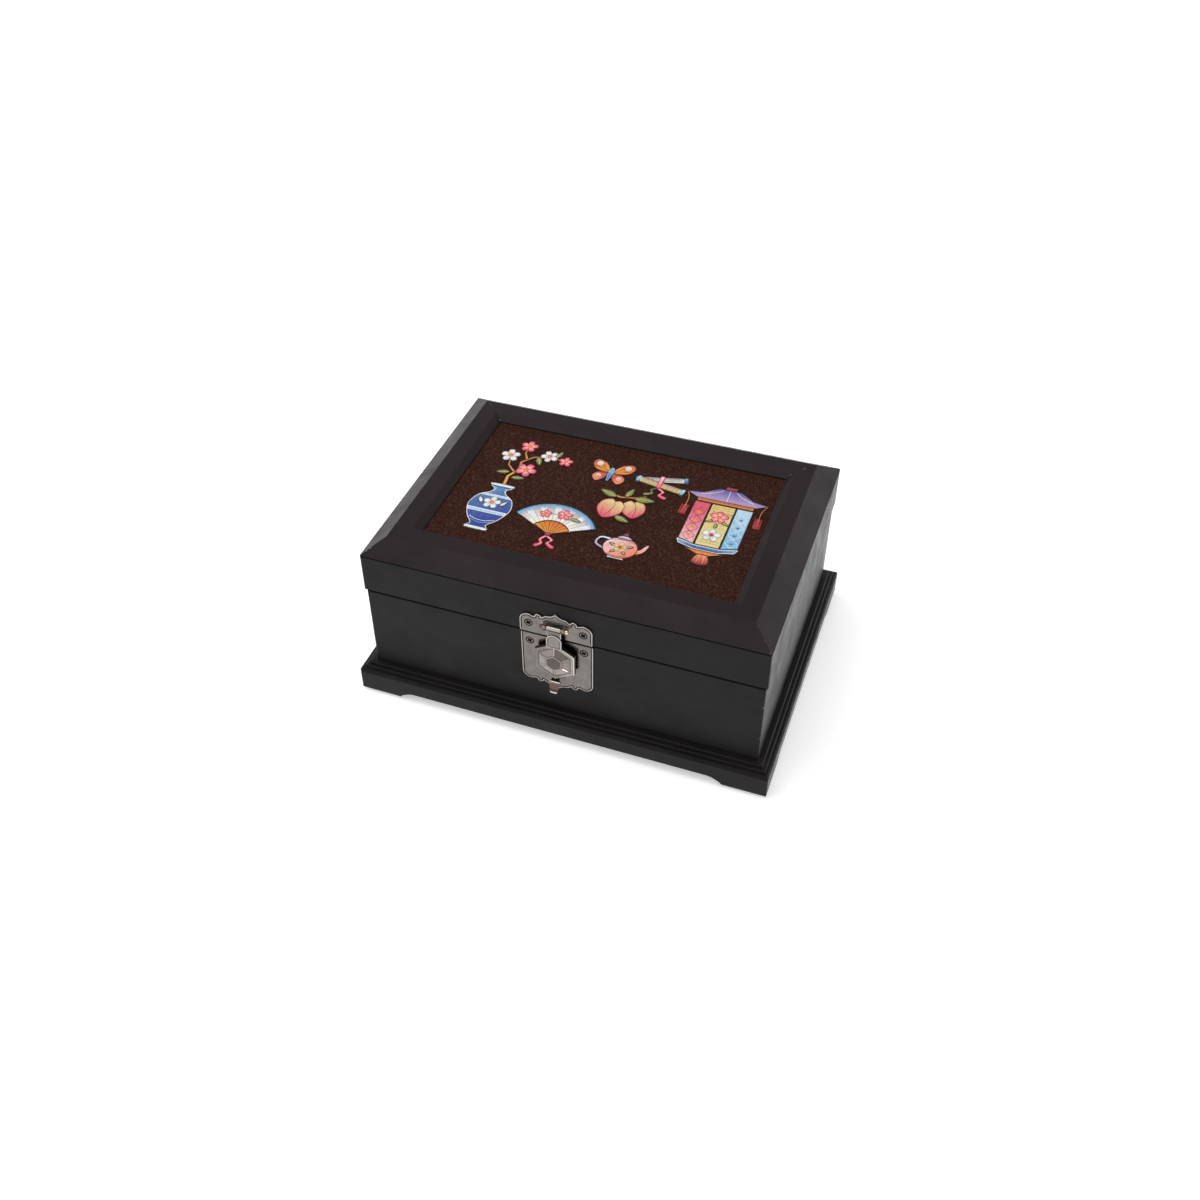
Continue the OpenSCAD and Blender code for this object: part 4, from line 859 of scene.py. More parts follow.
def blob(tint, level, points, **looks):
    """A patch with a rounded outline."""
    return panel(tint, level, smooth(points), **looks)


def line(tint, points, width=0.5, level=1, curved=True):
    """A stitched line. A curved one is smoothed through its points."""
    if curved and len(points) > 2:
        t = np.linspace(0, len(points) - 1, 8 * len(points))
        grid = np.arange(len(points))
        p = np.asarray(points, float)
        rough = np.stack([np.interp(t, grid, p[:, k]) for k in (0, 1)], -1)
        soft = np.ones(9) / 9
        inner = np.stack([np.convolve(np.pad(rough[:, k], 4, "edge"), soft, "valid") for k in (0, 1)], -1)
        points = np.vstack([p[:1], inner, p[-1:]])
    return [dict(tint=tint, level=level, points=np.asarray(points, float), width=width)]


def leaf(x, y, length, turn, level=1, tint="olive"):
    """A leaf with its midrib."""
    blade = blob(tint, level, placed(LEAF, x, y, turn, length), lay=turn + 48, fade=turn, mix=0.8)
    midrib = placed([[0.08, 0], [0.45, 0.03], [0.9, 0]], x, y, turn, length)
    return blade + line("cream", midrib, 0.35, level + 0.8)


def disc(tint, level, x, y, r, **looks):
    """A round patch."""
    return panel(tint, level, arc(x, y, r, 0, 330, 11), **looks)


def flower(tint, x, y, r, turn, level=1, heart="gold"):
    """Five petals, whose stitches run outwards, stamens, and a round heart."""
    made = []
    for k in range(5):
        a = turn + 72 * k
        made += blob(tint, level, placed(PETAL, x, y, a, r), lay=a + 8, fade=a + 180,
                     edge="rose" if tint == "pink" else "grey")
        made += line("crimson" if tint != "pink" else "cream", placed([[0.2, 0], [0.62, 0]], x, y, a, r),
                     0.3, level + 0.8, curved=False)
    return made + disc(heart, level + 1, x, y, 0.24 * r, edge="amber")


def bars(tint, x0, x1, ys, width=0.45, level=1, x=0, y=0, turn=0):
    """Parallel stripes across a panel, such as the writing on a scroll."""
    made = []
    for v in ys:
        made += line(tint, placed([[x0, v], [x1, v]], x, y, turn), width, level, curved=False)
    return made


print("a flower has", len(flower("pink", 0, 0, 1, 90)), "patches and lines")

# %% [markdown]
# ## The still life
# Eight motifs: a vase, its blossoms, a fan, a butterfly, peaches, a teapot, a lantern and
# rolled scrolls. Each gives the place of its middle and its size, in shares of the depth of
# the lid's opening, and each becomes one piece on the lid. One piece for the whole picture
# would be too heavy, and a piece for each patch too many. The vase comes first: blue, with a
# pale neck and foot, and with blossoms on a bent branch.

# %% Stitch the vase and its blossoms
PICTURE = 118.0


def stitch(name, slot, node, x, y, size, *parts):
    """Lays every patch and line of a motif, and makes one piece of them."""
    heap = Heap()
    for part in sum(parts, []):
        points = np.asarray(part["outline"] if "outline" in part else part["points"], float) * size * PICTURE
        points = points + np.array([x, y]) * PICTURE
        if "outline" in part:
            lay_patch(heap, part, points)
            if part["edge"]:
                lay_line(heap, points, part["edge"], 0.55, part["level"] + 0.3, True)
        else:
            lay_line(heap, points, part["tint"], part["width"], part["level"], False)
    heap.piece(name, "lid", slot, THREADS, node, crease=80)


body = both([[.13, -.46], [.10, -.40], [.20, -.26], [.27, -.06], [.22, .13], [.10, .23], [.08, .31],
             [.13, .37]])
stitch("vase_stitches", "thread_blue", "stitched_vase", -0.56, -0.19, 0.42,
       blob("blue", 0, body, lay=90, fade=120, edge="white", mix=0.55),
       blob("white", 1, both([[.12, -.50], [.15, -.475], [.12, -.45]]), lay=90),
       blob("white", 1, both([[.12, .36], [.16, .385], [.12, .41]]), lay=90),
       panel("sky", 1, both([[.235, -.17], [.255, -.12]]), lay=90, edge="white"),
       panel("sky", 1, both([[.195, .15], [.165, .18]]), lay=90, edge="white"),
       line("white", [[-.17, -.28], [-.06, -.33], [.06, -.33], [.17, -.28]], 0.45),
       line("sky", [[-.14, -.33], [0, -.38], [.14, -.33]], 0.4),
       line("ice", [[.075, .25], [.06, .30], [.075, .34]], 0.4),
       line("ice", [[-.075, .25], [-.06, .30], [-.075, .34]], 0.4),
       leaf(.12, -.01, .12, 60, 2, "white"), leaf(-.12, -.01, .12, 120, 2, "white"),
       flower("white", 0, .03, .11, 90))
branch = [[0, 0], [-.02, .18], [.06, .34], [.03, .50], [.14, .64], [.32, .71], [.50, .69]]
stitch("blossom_stitches", "thread_pink", "stitched_blossoms", -0.56, -0.015, 0.42,
       panel("gold", 0, strip(branch, .045, .020), lay=15, mix=0.9),
       panel("gold", 0, strip([[.03, .27], [-.10, .40], [-.14, .56]], .030, .018), lay=40),
       panel("gold", 0, strip([[.08, .57], [.01, .70], [.01, .80]], .030, .018), lay=20),
       leaf(.03, .16, .17, 10), leaf(-.03, .26, .17, 195), leaf(.20, .66, .17, -65), leaf(.42, .72, .15, 75),
       flower("pink", .15, .36, .13, 70), flower("white", -.15, .59, .12, 100),
       flower("pink", .01, .84, .11, 90),
       flower("white", .33, .72, .11, 50), flower("pink", .56, .68, .09, 20))

# %% [markdown]
# ## The fan
# A folding fan is a row of narrow pleats on thin sticks. One white patch with drawn folds would
# look flat. So every pleat is a patch of its own, and its silk slants one way in one pleat and
# the other way in the next, so that light tells them apart as it does on folded paper.

# %% Stitch the fan
def ray(hub, angle, near, far):
    """A straight line away from a point at height hub, from one distance to another."""
    c, s = math.cos(math.radians(angle)), math.sin(math.radians(angle))
    return [[near * c, hub + near * s], [far * c, hub + far * s]]


fan, folds, hub = [], 12, -0.20
spread = np.linspace(28, 152, folds + 1)
for k, (low, high) in enumerate(zip(spread, spread[1:])):
    middle = (low + high) / 2
    fan += panel("white", 1, arc(0, hub, .49, low, high, 2) + arc(0, hub, .24, high, low, 2),
                 lay=middle + (20 if k % 2 else -20),
                 fade=middle, edge=None, to="grey" if k % 2 else "ice", mix=0.7)
    fan += panel("sky", 1, arc(0, hub, .54, low, high, 2) + arc(0, hub, .49, high, low, 2), lay=middle,
                 fade=middle, edge=None, to="blue", mix=0.5)
    fan += line("grey" if k else "ink", ray(hub, low, .245, .535), 0.4, 1.5, curved=False)
ribs = []
for a in np.linspace(30, 150, 9):
    ribs += line("ink" if round(a) % 2 else "crimson", ray(hub, a, .05, .235), 0.4, 1, curved=False)
stitch("fan_stitches", "thread_light", "stitched_fan", -0.20, -0.23, 0.44,
       panel("gold", 0, arc(0, hub, .24, 28, 152, 6) + arc(0, hub, .04, 152, 28, 2), lay=90, fade=90,
             mix=0.8), ribs, fan,
       line("ink", arc(0, hub, .545, 28, 152, 16), 0.55, 1.4, curved=False),
       line("pink", arc(0, hub, .47, 29, 151, 16), 0.4, 1.7, curved=False),
       line("ink", arc(0, hub, .24, 28, 152, 12), 0.5, 1.6, curved=False),
       disc("crimson", 1, 0, hub, .035),
       blob("pink", 0, strip([[.01, -.24], [.08, -.29], [.05, -.35], [.13, -.41]], .020, .040), lay=20,
            edge="rose"),
       blob("pink", 0, strip([[-.01, -.24], [-.05, -.31], [-.02, -.37], [-.07, -.43]], .020, .040), lay=-20,
            edge="rose"),
       leaf(.15, .13, .13, -10, 2), line("leaf", [[-.18, .10], [-.06, .16], [.05, .14], [.16, .10]], 0.5, 2),
       flower("pink", .07, .17, .09, 90, 2), flower("pink", -.15, .13, .07, 100, 2))

# %% [markdown]
# ## The butterfly
# The two halves of a butterfly mirror each other. Both could be drawn, but eyes are quick to
# see a difference, so one fore wing and one hind wing are drawn and then mirrored. Dark veins
# and round spots lie on top, and the body covers the roots of the wings.

# %% Stitch the butterfly
fore = [[.03, .04], [.16, .28], [.38, .38], [.46, .24], [.34, .05], [.08, 0]]
hind = [[.04, -.03], [.24, -.03], [.35, -.18], [.24, -.34], [.10, -.22]]
veins = []
for k in (-1, 1):
    veins += line("navy", [[k * .05, .03], [k * .20, .18], [k * .36, .30]], 0.35)
    veins += line("navy", [[k * .06, .02], [k * .22, .10], [k * .38, .14]], 0.35)
    veins += line("gold", [[k * .05, -.05], [k * .16, -.12], [k * .24, -.26]], 0.35)
    veins += line("navy", [[k * .02, .14], [k * .06, .26], [k * .14, .34], [k * .19, .31]], 0.4, 0)
stitch("butterfly_stitches", "thread_gold", "stitched_butterfly", -0.07, 0.26, 0.25,
       blob("gold", 0, fore, lay=38, fade=40, edge="navy"),
       blob("gold", 0, mirrored(fore), lay=142, fade=140, edge="navy"),
       blob("crimson", 0, hind, lay=-40, fade=-50, edge="navy", to="salmon"),
       blob("crimson", 0, mirrored(hind), lay=220, fade=230, edge="navy", to="salmon"),
       veins, disc("sky", 1, .31, .24, .060, edge="white"), disc("sky", 1, -.31, .24, .060, edge="white"),
       disc("pink", 1, .22, -.16, .050, edge="cream"), disc("pink", 1, -.22, -.16, .050, edge="cream"),
       blob("blue", 1, both([[.015, -.26], [.040, -.02], [.030, .14]]), lay=0, edge="sky"))

# %% [markdown]
# ## The peaches and the teapot
# Both are round things, and flat thread has to show it. A painter would shade them with many
# tints. Silk does it with two that fade across the form, and with lines that bend round it:
# the peaches' seams, and the bands on the pot.

# %% Stitch the peaches and the teapot
peach =[[0, -.30], [-.19, -.13], [-.20, .09], [-.08, .20], [0, .16], [.08, .20], [.20, .09], [.19, -.13]]
seam = [[0, .15], [.05, .02], [.03, -.14], [0, -.27]]
stitch("peach_stitches", "thread_pink", "stitched_peaches", 0.07, 0.00, 0.29,
       panel("gold", 0, strip([[-.34, .36], [-.10, .28], [.14, .33], [.34, .44]], .050, .030), lay=100),
       blob("pink", 0, placed(peach, .22, .06, 12, .95), lay=80, fade=110, edge="rose", to="cream"),
       line("crimson", placed(seam, .22, .06, 12, .95), 0.5, 0.8),
       blob("pink", 1, placed(peach, -.16, -.04, -10, 1.05), lay=95, fade=75, edge="rose", to="cream"),
       line("crimson", placed(seam, -.16, -.04, -10, 1.05), 0.5, 1.8),
       leaf(-.16, .26, .34, 160, 2), leaf(.16, .30, .36, 5, 2), leaf(0, .30, .27, 75, 2),
       leaf(-.02, -.26, .30, -20, 2))
stitch("teapot_stitches", "thread_salmon", "stitched_teapot", 0.17, -0.29, 0.25,
       blob("lilac", 0, strip([[-.24, .16], [-.46, .16], [-.50, -.04], [-.28, -.16]], .055, .050), lay=30),
       blob("salmon", 0, strip([[.24, -.10], [.42, -.02], [.50, .18]], .150, .050), lay=60, fade=70),
       panel("white", 0, both([[.16, -.38], [.16, -.32]]), lay=90, edge="ink"),
       blob("salmon", 1, both([[.14, -.33], [.30, -.20], [.34, 0], [.25, .17], [.12, .23]]), lay=90,
            fade=135),
       line("crimson", [[-.25, .14], [-.10, .19], [.10, .19], [.25, .14]], 0.45, 1.8),
       line("crimson", [[-.22, -.27], [0, -.32], [.22, -.27]], 0.45, 1.8),
       line("white", [[-.28, .02], [-.22, .12], [-.14, .16]], 0.5, 1.8),
       blob("lilac", 1, both([[.13, .22], [.12, .28], [.04, .32]]), lay=90), disc("crimson", 1, 0, .36, .050),
       leaf(.11, -.02, .15, 25, 2), leaf(-.11, -.02, .15, 155, 2), leaf(.07, -.14, .13, -50, 2),
       leaf(-.07, -.14, .13, 230, 2),
       flower("cream", 0, -.04, .15, 90, 2, "crimson"))

# %% [markdown]
# ## The lantern
# The largest motif has three sides: a pale one in front, and a pink and a blue one that fall
# back, with lattice on them. They could be drawn in perspective. Here slanted edges and a
# different lay of the silk on each side are enough. What mirrors is made in a loop, with k as
# -1 on the left and 1 on the right.

# %% Stitch the lantern
side =[[.085, -.20], [.185, -.17], [.185, .215], [.085, .215]]
tassel = [[.225, .16], [.245, .16], [.255, .06], [.215, .06]]
lattice = []
for k in (-1, 1):
    tint = "crimson" if k < 0 else "white"
    for v in (-.13, -.05, .03, .11):
        lattice += line(tint,
                        [[k * .095, v], [k * .135, v + .045], [k * .175, v], [k * .135, v - .045],
                         [k * .095, v]], 0.4, 1, curved=False)
        lattice += disc("gold" if k < 0 else "blue", 1, k * .135, v, .012, edge=None)
    lattice += line("ink", [[k * .085, -.20], [k * .085, .215]], 0.6, 1, curved=False)
    lattice += line("gold", [[k * .26, .295], [k * .235, .24], [k * .235, .16]], 0.4, 0)
    for v in (.215, .235, .255):
        lattice += line("amber", [[k * v, .155], [k * (v + .004), .065]], 0.3, 0.8, curved=False)
frets = []
for v in (-.17, -.15, .17, .19):
    frets += line("olive", [[-.07, v], [.07, v]], 0.4, 1, curved=False)
for k in np.linspace(-.055, .055, 6):
    frets += line("crimson", [[k, .125], [k + .011, .145], [k + .022, .125]], 0.35, 1, curved=False)
stitch("lantern_stitches", "thread_sky", "stitched_lantern", 0.56, 0.01, 0.80,
       panel("lilac", 0, both([[.19, .255], [.26, .295], [.16, .315], [.07, .38]]), lay=90, fade=90,
             to="blue", mix=0.8),
       line("white", [[-.17, .29], [-.08, .33], [-.04, .37]], 0.45),
       line("white", [[.17, .29], [.08, .33], [.04, .37]], 0.45),
       line("white", [[0, .26], [0, .37]], 0.45, curved=False),
       panel("crimson", 0, both([[.035, .38], [.035, .41]]), lay=90),
       panel("gold", 0, both([[.18, .225], [.18, .255]]), lay=90, edge="ink"),
       bars("crimson", -.17, .17, [.24]),
       panel("cream", 0, both([[.075, -.20], [.075, .215]]), lay=90, fade=90, edge="ink", mix=0.35),
       panel("pink", 0, mirrored(side), lay=80, fade=-90, edge="ink", mix=0.8),
       panel("sky", 0, side, lay=100, fade=90, edge="ink", mix=0.7), lattice, frets,
       panel("blue", 0, both([[.07, -.245], [.175, -.215], [.19, -.18], [.08, -.21]]), lay=90, edge="white"),
       panel("gold", 0, both([[.04, -.285], [.12, -.25]]), lay=90),
       blob("crimson", 0, both([[.03, -.29], [.045, -.37]]), lay=90, to="salmon"),
       line("cream", [[-.015, -.295], [-.02, -.365]], 0.3, curved=False),
       line("cream", [[.015, -.295], [.02, -.365]], 0.3, curved=False),
       panel("crimson", 0, tassel, lay=90, edge=None),
       panel("crimson", 0, mirrored(tassel), lay=90, edge=None),
       leaf(.03, .05, .05, -30), leaf(-.03, .05, .05, 210), leaf(0, -.02, .05, 90),
       flower("pink", 0, .09, .06, 90), flower("white", 0, -.09, .06, 90, heart="crimson"))

# %% [markdown]
# ## The scrolls
# Two rolled papers lie across each other and are tied with a ribbon. A roll is a long patch
# with a cap at each end, whose silk runs across it like the paper's own curve. Two patches side
# by side would pass as well, but the upper roll stands on a higher level, so it covers the
# lower one as it would in silk.

# %% Stitch the scrolls
cap, body =both([[.035, -.085], [.035, .085]]), both([[.40, -.07], [.40, .07]])
rolls = []
for x, y, turn, tint, end, level, mark in ((0, .06, 14, "white", "blue", 0, "ink"),
                                           (.02, -.10, -10, "cream", "sky", 1, "crimson")):
    rolls += panel(tint, level, placed(body, x, y, turn), lay=turn + 90, fade=turn + 90, to="grey", mix=0.6)
    for k in (-.43, .43):
        cx, cy = placed([[k, 0]], x, y, turn)[0]
        rolls += panel(end, level, placed(cap, cx, cy, turn), lay=turn + 90, fade=turn + 90)
    rolls += bars(mark, -.37, .37, (-.035, 0, .035), 0.4, level + 0.9, x, y, turn)
stitch("scroll_stitches", "thread_light", "stitched_scrolls", 0.20, 0.27, 0.29, rolls,
       panel("pink", 2, both([[.035, -.20], [.035, .14]]), lay=0, edge="rose"),
       blob("pink", 0, strip([[.01, -.20], [.12, -.28], [.08, -.38], [.20, -.44]], .030, .060), lay=20,
            edge="rose"),
       blob("olive", 0, strip([[-.01, -.20], [-.10, -.27], [-.06, -.36], [-.18, -.43]], .030, .060), lay=-20))

# %% [markdown]
# ## The two plates of the hasp
# Each plate is stamped from thin sheet: straight at the seam, scalloped at the other end, with
# a rounded edge and a fine line pressed in a little way inside. Cutting the outline from a
# plane with booleans would leave hard edges. Instead the outline is moved inwards step by
# step, each copy at its own height, and the last copy is filled, with holes for the screws.

# %% Cut and press sheet metal
def inset(outline, distance):
    """Moves each corner of a closed outline inwards, along the sum of its two edges' inner
    normals, until it lies at the distance from both edges."""
    ahead = np.roll(outline, -1, 0) - outline
    inner = np.stack([-ahead[:, 1], ahead[:, 0]], -1) / np.linalg.norm(ahead, axis=1)[:, None]
    before = np.roll(inner, 1, 0)
    spread = np.maximum(1 + (inner * before).sum(1), 0.6)[:, None]
    return outline + (inner + before) / spread * distance


def facing(flat, y):
    """Points drawn across and up, set into the plane at depth y, as the front shows them."""
    return np.column_stack([flat[:, 0], np.full(len(flat), y), flat[:, 1]])


def filled(loops):
    """Triangles that fill the first loop and leave out the others."""
    faces = np.array(tessellate_polygon([[Vector((*p, 0)) for p in loop] for loop in loops]))
    points = np.concatenate(loops)
    a, b, c = (points[faces[:, k]] for k in range(3))
    area = (b[:, 0] - a[:, 0]) * (c[:, 1] - a[:, 1]) - (b[:, 1] - a[:, 1]) * (c[:, 0] - a[:, 0])
    faces[area < 0] = faces[area < 0][:, ::-1]
    return faces[abs(area) > 1e-9]


def pressed(heap, outline, back, profile, holes=(), worn=0.0, plain=None):
    """A plate from a closed outline, counterclockwise as the front shows it. Each row of the
    profile says how far in and how far forward a copy of the outline lies, how much dirt and
    painted shade it carries, and how bright it is rubbed. Each hole is a list of rings, all
    painted dark as shade. Points of the outline at the height plain get no pressed line: from
    their fourth ring on they lie level with the plate."""
    count = len(outline)
    lined = np.ones(count) if plain is None else (abs(outline[:, 1] - plain) > 0.01) * 1.0
    rings = [facing(inset(outline, row[0]), back - row[1]) for row in profile]
    tones = np.array([np.outer(np.ones(count), (worn, dirt_and_shade, bright)) for _, _, dirt_and_shade, bright in profile])
    for ring, tone in zip(rings[4:], tones[4:]):
        ring[:, 1] += (back - profile[-1][1] - ring[:, 1]) * (1 - lined)
        tone[:, 1:] *= lined[:, None]
    heap.add(rings, grid_quads(len(rings), count, True), colour=tones)
    tones = tones[:, 0]
    for cap in (-1, 0):
        loops = [rings[cap][:, [0, 2]]] + [h[cap][:, [0, 2]] for h in holes]
        faces = filled(loops)
        points = facing(np.concatenate(loops), back - profile[cap][1])
        heap.add(points, faces if cap else faces[:, ::-1], colour=tones[[cap]].repeat(len(points), 0))
    # Painted shade on the walls of the countersunk screw holes.
    for hole in holes:
        points = np.concatenate(hole)
        heap.add(points, grid_quads(len(hole), len(hole[0]), True)[:, ::-1],
                 colour=np.array([(0, 0.95, 0)]).repeat(len(points), 0))


print("a square moved in by 1 mm has its first corner at", inset(square, 1.0)[0])

# %% [markdown]
# ## Scallops and screw holes
# The scalloped end of a plate is made of arcs. Tracing it point by point would copy every
# wobble of a picture. So one table gives the middle, radius and angles of each arc, in shares
# of half the plate's width, and both plates use it. Another gives the section of the rim, and
# the screw holes are rings that widen towards the face.

# %% Outline the plates
SCALLOPS = ((.764, .000, .236, 0, 125, 14), (.486, .200, .095, 0, 170, 12),
            (.245, .209, .091, 30, 100, 6), (.236, .564, .264, -96, -152, 10))
LID_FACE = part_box("lid_front_board")[0].y / MM
CASE_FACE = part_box("front_board")[0].y / MM
LID_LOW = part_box("lid_front_board")[0].z / MM
CASE_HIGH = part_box("front_board")[1].z / MM
HALF_PLATE, PLATE = 22.0, 1.0
SCREW_X, SCREW_Z, HEAD = 16.5, 7.2, 2.5


def plate_outline(edge):
    """The right half: out along the seam, up the straight side, then along the scallops. The
    left half mirrors it."""
    half = sum((arc(cx * HALF_PLATE, edge + cz * HALF_PLATE, r * HALF_PLATE, low, high, steps)
                for cx, cz, r, low, high, steps in SCALLOPS),
               [[6, 0], [HALF_PLATE - 2, 0], [HALF_PLATE, 0], [HALF_PLATE, 2], [HALF_PLATE, edge / 2]])
    return np.array(half + mirrored(half))


def screw_hole(x, z, face):
    """Rings of a countersunk hole, from the back of the plate to its face."""
    a = np.radians(np.arange(0, 360, 7.5))
    ring = np.column_stack([np.cos(a), np.zeros(len(a)), np.sin(a)])
    radii_and_heights = ((1.3, 0), (1.5, 0.2), (2.42, 0.86), (2.62, 1.0))
    return [np.array([x, face - h, z]) + ring * r for r, h in radii_and_heights]


# Rows of the rim: how far in, how far forward, dirt and painted shade, and rubbed brightness. The plate's
# outer wall is painted dark as shade; the pressed groove holds patina.
RIM = ((0, 0, 0.9, 0), (0, 0.5, 0.9, 0), (0.04, 0.7, 0.5, 0), (0.12, 0.88, 0, 0.3), (0.26, 1.0, 0, 0.3),
       (0.72, 1.0, 0, 0.12), (0.84, 0.88, 0.7, 0), (0.96, 0.7, 1, 0), (1.26, 0.7, 1, 0), (1.38, 0.88, 0.6, 0),
       (1.5, 0.98, 0, 0.05), (1.6, 1.0, 0, 0))


print("the lower plate's outline has", len(plate_outline(32.7)), "points")

# %% [markdown]
# ## Ears and plates
# Two ears are rolled from the upper plate and hold the pin. A plain cylinder would do for a
# hinge, but rolled metal bulges. So a bar is turned from a table of radii, and its painted
# light follows the direction it looks in: the side that looks up and forwards keeps its
# brightness as a painted highlight, with painted shade in a band on either side of it.

# %% Press the plates
PIN_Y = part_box("hasp_pin")[0].lerp(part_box("hasp_pin")[1], 0.5).y / MM
PIN_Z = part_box("hasp_pin")[0].lerp(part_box("hasp_pin")[1], 0.5).z / MM
EAR_X, EAR_HALF = 5.8, 1.2
HIGHLIGHT_WAY = 142  # in degrees round the pin, from straight back over the top to the front


def turned_bar(heap, x0, x1, y, z, radii, tone, steps=32):
    """A bar turned about the x direction: rings at given shares of its length. The band that
    looks forwards and up keeps the bar's brightness as a painted highlight, with a band of
    painted shade on either side of it. Angles off the middle of that band count in degrees."""
    share, radius = np.array(radii).T
    a = np.arange(steps) * 2 * np.pi / steps
    x = (x0 + (x1 - x0) * share)[:, None] + 0 * a
    points = np.stack([x, y + radius[:, None] * np.cos(a), z + radius[:, None] * np.sin(a)], -1)
    end = np.arange(steps)
    off = (np.degrees(a) - HIGHLIGHT_WAY + 180) % 360 - 180
    # Painted shade in a band on each side of the painted highlight, whose brightness is kept to the middle.
    shade_bands = np.interp(off, (-52, -42, -32, -20, 20, 40, 85, 95), (0, 0.85, 0.85, 0, 0, 0.85, 0.85, 0))
    tones = np.outer(np.ones(steps), tone)
    tones[:, 1] = np.maximum(tones[:, 1], shade_bands)
    tones[:, 2] *= np.clip((40 - np.abs(off)) / 20, 0, 1)
    heap.add(points, grid_quads(len(share), steps, True)[:, ::-1],
             np.stack([end, (len(share) - 1) * steps + end[::-1]]),
             colour=np.tile(tones, (len(share), 1)))


def add_ears(heap):
    """Two round ears that hold the pin, with webs back to the plate."""
    share = np.sin(np.linspace(-1, 1, 15) * np.pi / 2) / 2 + 0.5
    barrel = np.column_stack([share, 1.05 + 0.9 * np.sqrt(np.maximum(1 - (2 * share - 1) ** 2, 0))])
    for middle in (-EAR_X, EAR_X):
        turned_bar(heap, middle - EAR_HALF, middle + EAR_HALF, PIN_Y, PIN_Z, barrel, (0.85, 0.1, 0.0))
        web = np.array(both([[1.1, -1.6], [1.1, 1.6]])) + [middle, PIN_Z]
        pressed(heap, web, LID_FACE - 0.5, ((0, 0, 0.5, 0), (0, 2.2, 0.5, 0), (0.15, 2.5, 0.5, 0)), worn=0.4)


upper = plate_outline(8.6) + [0, LID_LOW]
lower = (plate_outline(32.7) * [1, -1] + [0, CASE_HIGH])[::-1]
for name, body, node, outline, face, seam, z in (
        ("upper_plate", "lid", "hasp_plate", upper, LID_FACE, LID_LOW, LID_LOW + SCREW_Z),
        ("lower_plate", "case", "catch_plate", lower, CASE_FACE, CASE_HIGH, CASE_HIGH - SCREW_Z)):
    plate = Heap()
    pressed(plate, outline, face, RIM, [screw_hole(x, z, face) for x in (-SCREW_X, SCREW_X)], plain=seam)
    if body == "lid":
        add_ears(plate)
    plate.piece(name, body, "black_nickel", PLATE_NICKEL, node, crease=50)

# %% [markdown]
# ## Plate screws
# Countersunk screws with a crossed slot. One surface runs from the middle of the head over
# its rim and down the shank, whose thread is a wave that climbs as it goes round.

# %% Turn the screws
def cross_screw(heap, x, z, face):
    """Rings of growing radius over the head, then down the shank. The slot is a cross cut into
    the dome: deep where a point lies near either axis and not far from the middle."""
    sides, shank_rings = 72, 40
    a = np.arange(sides) * 2 * np.pi / sides
    head = np.linspace(0.04, 1, 22) * (HEAD - 0.1)
    dome = 0.18 * (1 - (head / HEAD) ** 2) - 0.06
    depth = np.concatenate([dome, [-0.22], np.linspace(-0.95, -6.0, shank_rings), [-7.2]])
    radius = np.concatenate([head, [HEAD - 0.1], np.full(shank_rings, 1.05), [0.25]])
    grid = np.stack([radius[:, None] * np.cos(a), radius[:, None] * np.sin(a)], -1)
    shank = (depth[:, None] < -0.9) & (depth[:, None] > -6.5)
    grid = grid * np.where(shank, 1 + 0.1 * np.sin(2 * np.pi * depth[:, None] / 0.9 + a), 1.0)[..., None]
    turn = np.array([[0.8, -0.6], [0.6, 0.8]])
    slot = np.abs(grid @ turn)
    near = np.clip((0.56 - slot.min(-1)) / 0.16, 0, 1) * np.clip((1.6 - slot.max(-1)) / 0.25, 0, 1)
    near = near * (depth[:, None] > -0.1)
    y = depth[:, None] - 0.8 * near - np.clip(radius[:, None] - 1.85, 0, 0.3) * 0.6 * (depth[:, None] > -0.3)
    points = np.stack([x + grid[..., 0], face - PLATE - y, z + grid[..., 1]], -1)
    # Painted shade in the cross slot and in a dark ring round the rim of the head, over a little dirt on all
    # of it.
    dirt_and_shade = np.maximum(near, 0.35 + 0.65 * np.clip((radius[:, None] - 1.8) / 0.15, 0, 1) + 0 * near)
    bright = 0.3 * np.clip((radius[:, None] - 1.2) / 0.4, 0, 1) + 0 * near
    ends = np.arange(sides)
    heap.add(points, grid_quads(len(depth), sides, True)[:, ::-1],
             np.stack([ends, (len(depth) - 1) * sides + ends[::-1]]),
             colour=np.stack([0 * near, dirt_and_shade, bright * (1 - dirt_and_shade)], -1))


for name, body, node, face, z in (
        ("upper_screws", "lid", "hasp_plate_screws", LID_FACE, LID_LOW + SCREW_Z),
        ("lower_screws", "case", "catch_plate_screws", CASE_FACE, CASE_HIGH - SCREW_Z)):
    screws = Heap()
    for x in (-SCREW_X, SCREW_X):
        cross_screw(screws, x, z, face)
    screws.piece(name, body, "black_nickel", NICKEL, node, crease=35)

# %% [markdown]
# ## The turtle shell
# The hasp ends in a six-sided shell like a turtle's. It could be sculpted, but its facets are
# planes, so a grid that follows the hexagon gives them exactly: every ring is a smaller
# hexagon, and creases fall on the lines from the middle to the corners. One table gives height,
# dirt and painted shade, and brightness from the middle out to the rim. Another gives each facet
# its own tone of painted light and shade, because the six lie differently to the light and to the hand.

# %% Shape the shell
SHELL_Z, SHELL_R, SHELL_BACK = 64.3, 14.0, -88.9
CELL, BORDER = 0.41, 0.79
# Per facet: warmth, dirt and painted shade, and brightness, as painted light and shade for how each facet
# lies to the light.
FACET_SHADES =np.array([(0.14, 0.12, 0.08), (0.05, 0.00, 0.10), (0.00, 0.00, 0.14),
                   (0.00, 0.00, 0.14), (0.22, 0.05, 0.05), (0.20, 0.38, 0.00)])


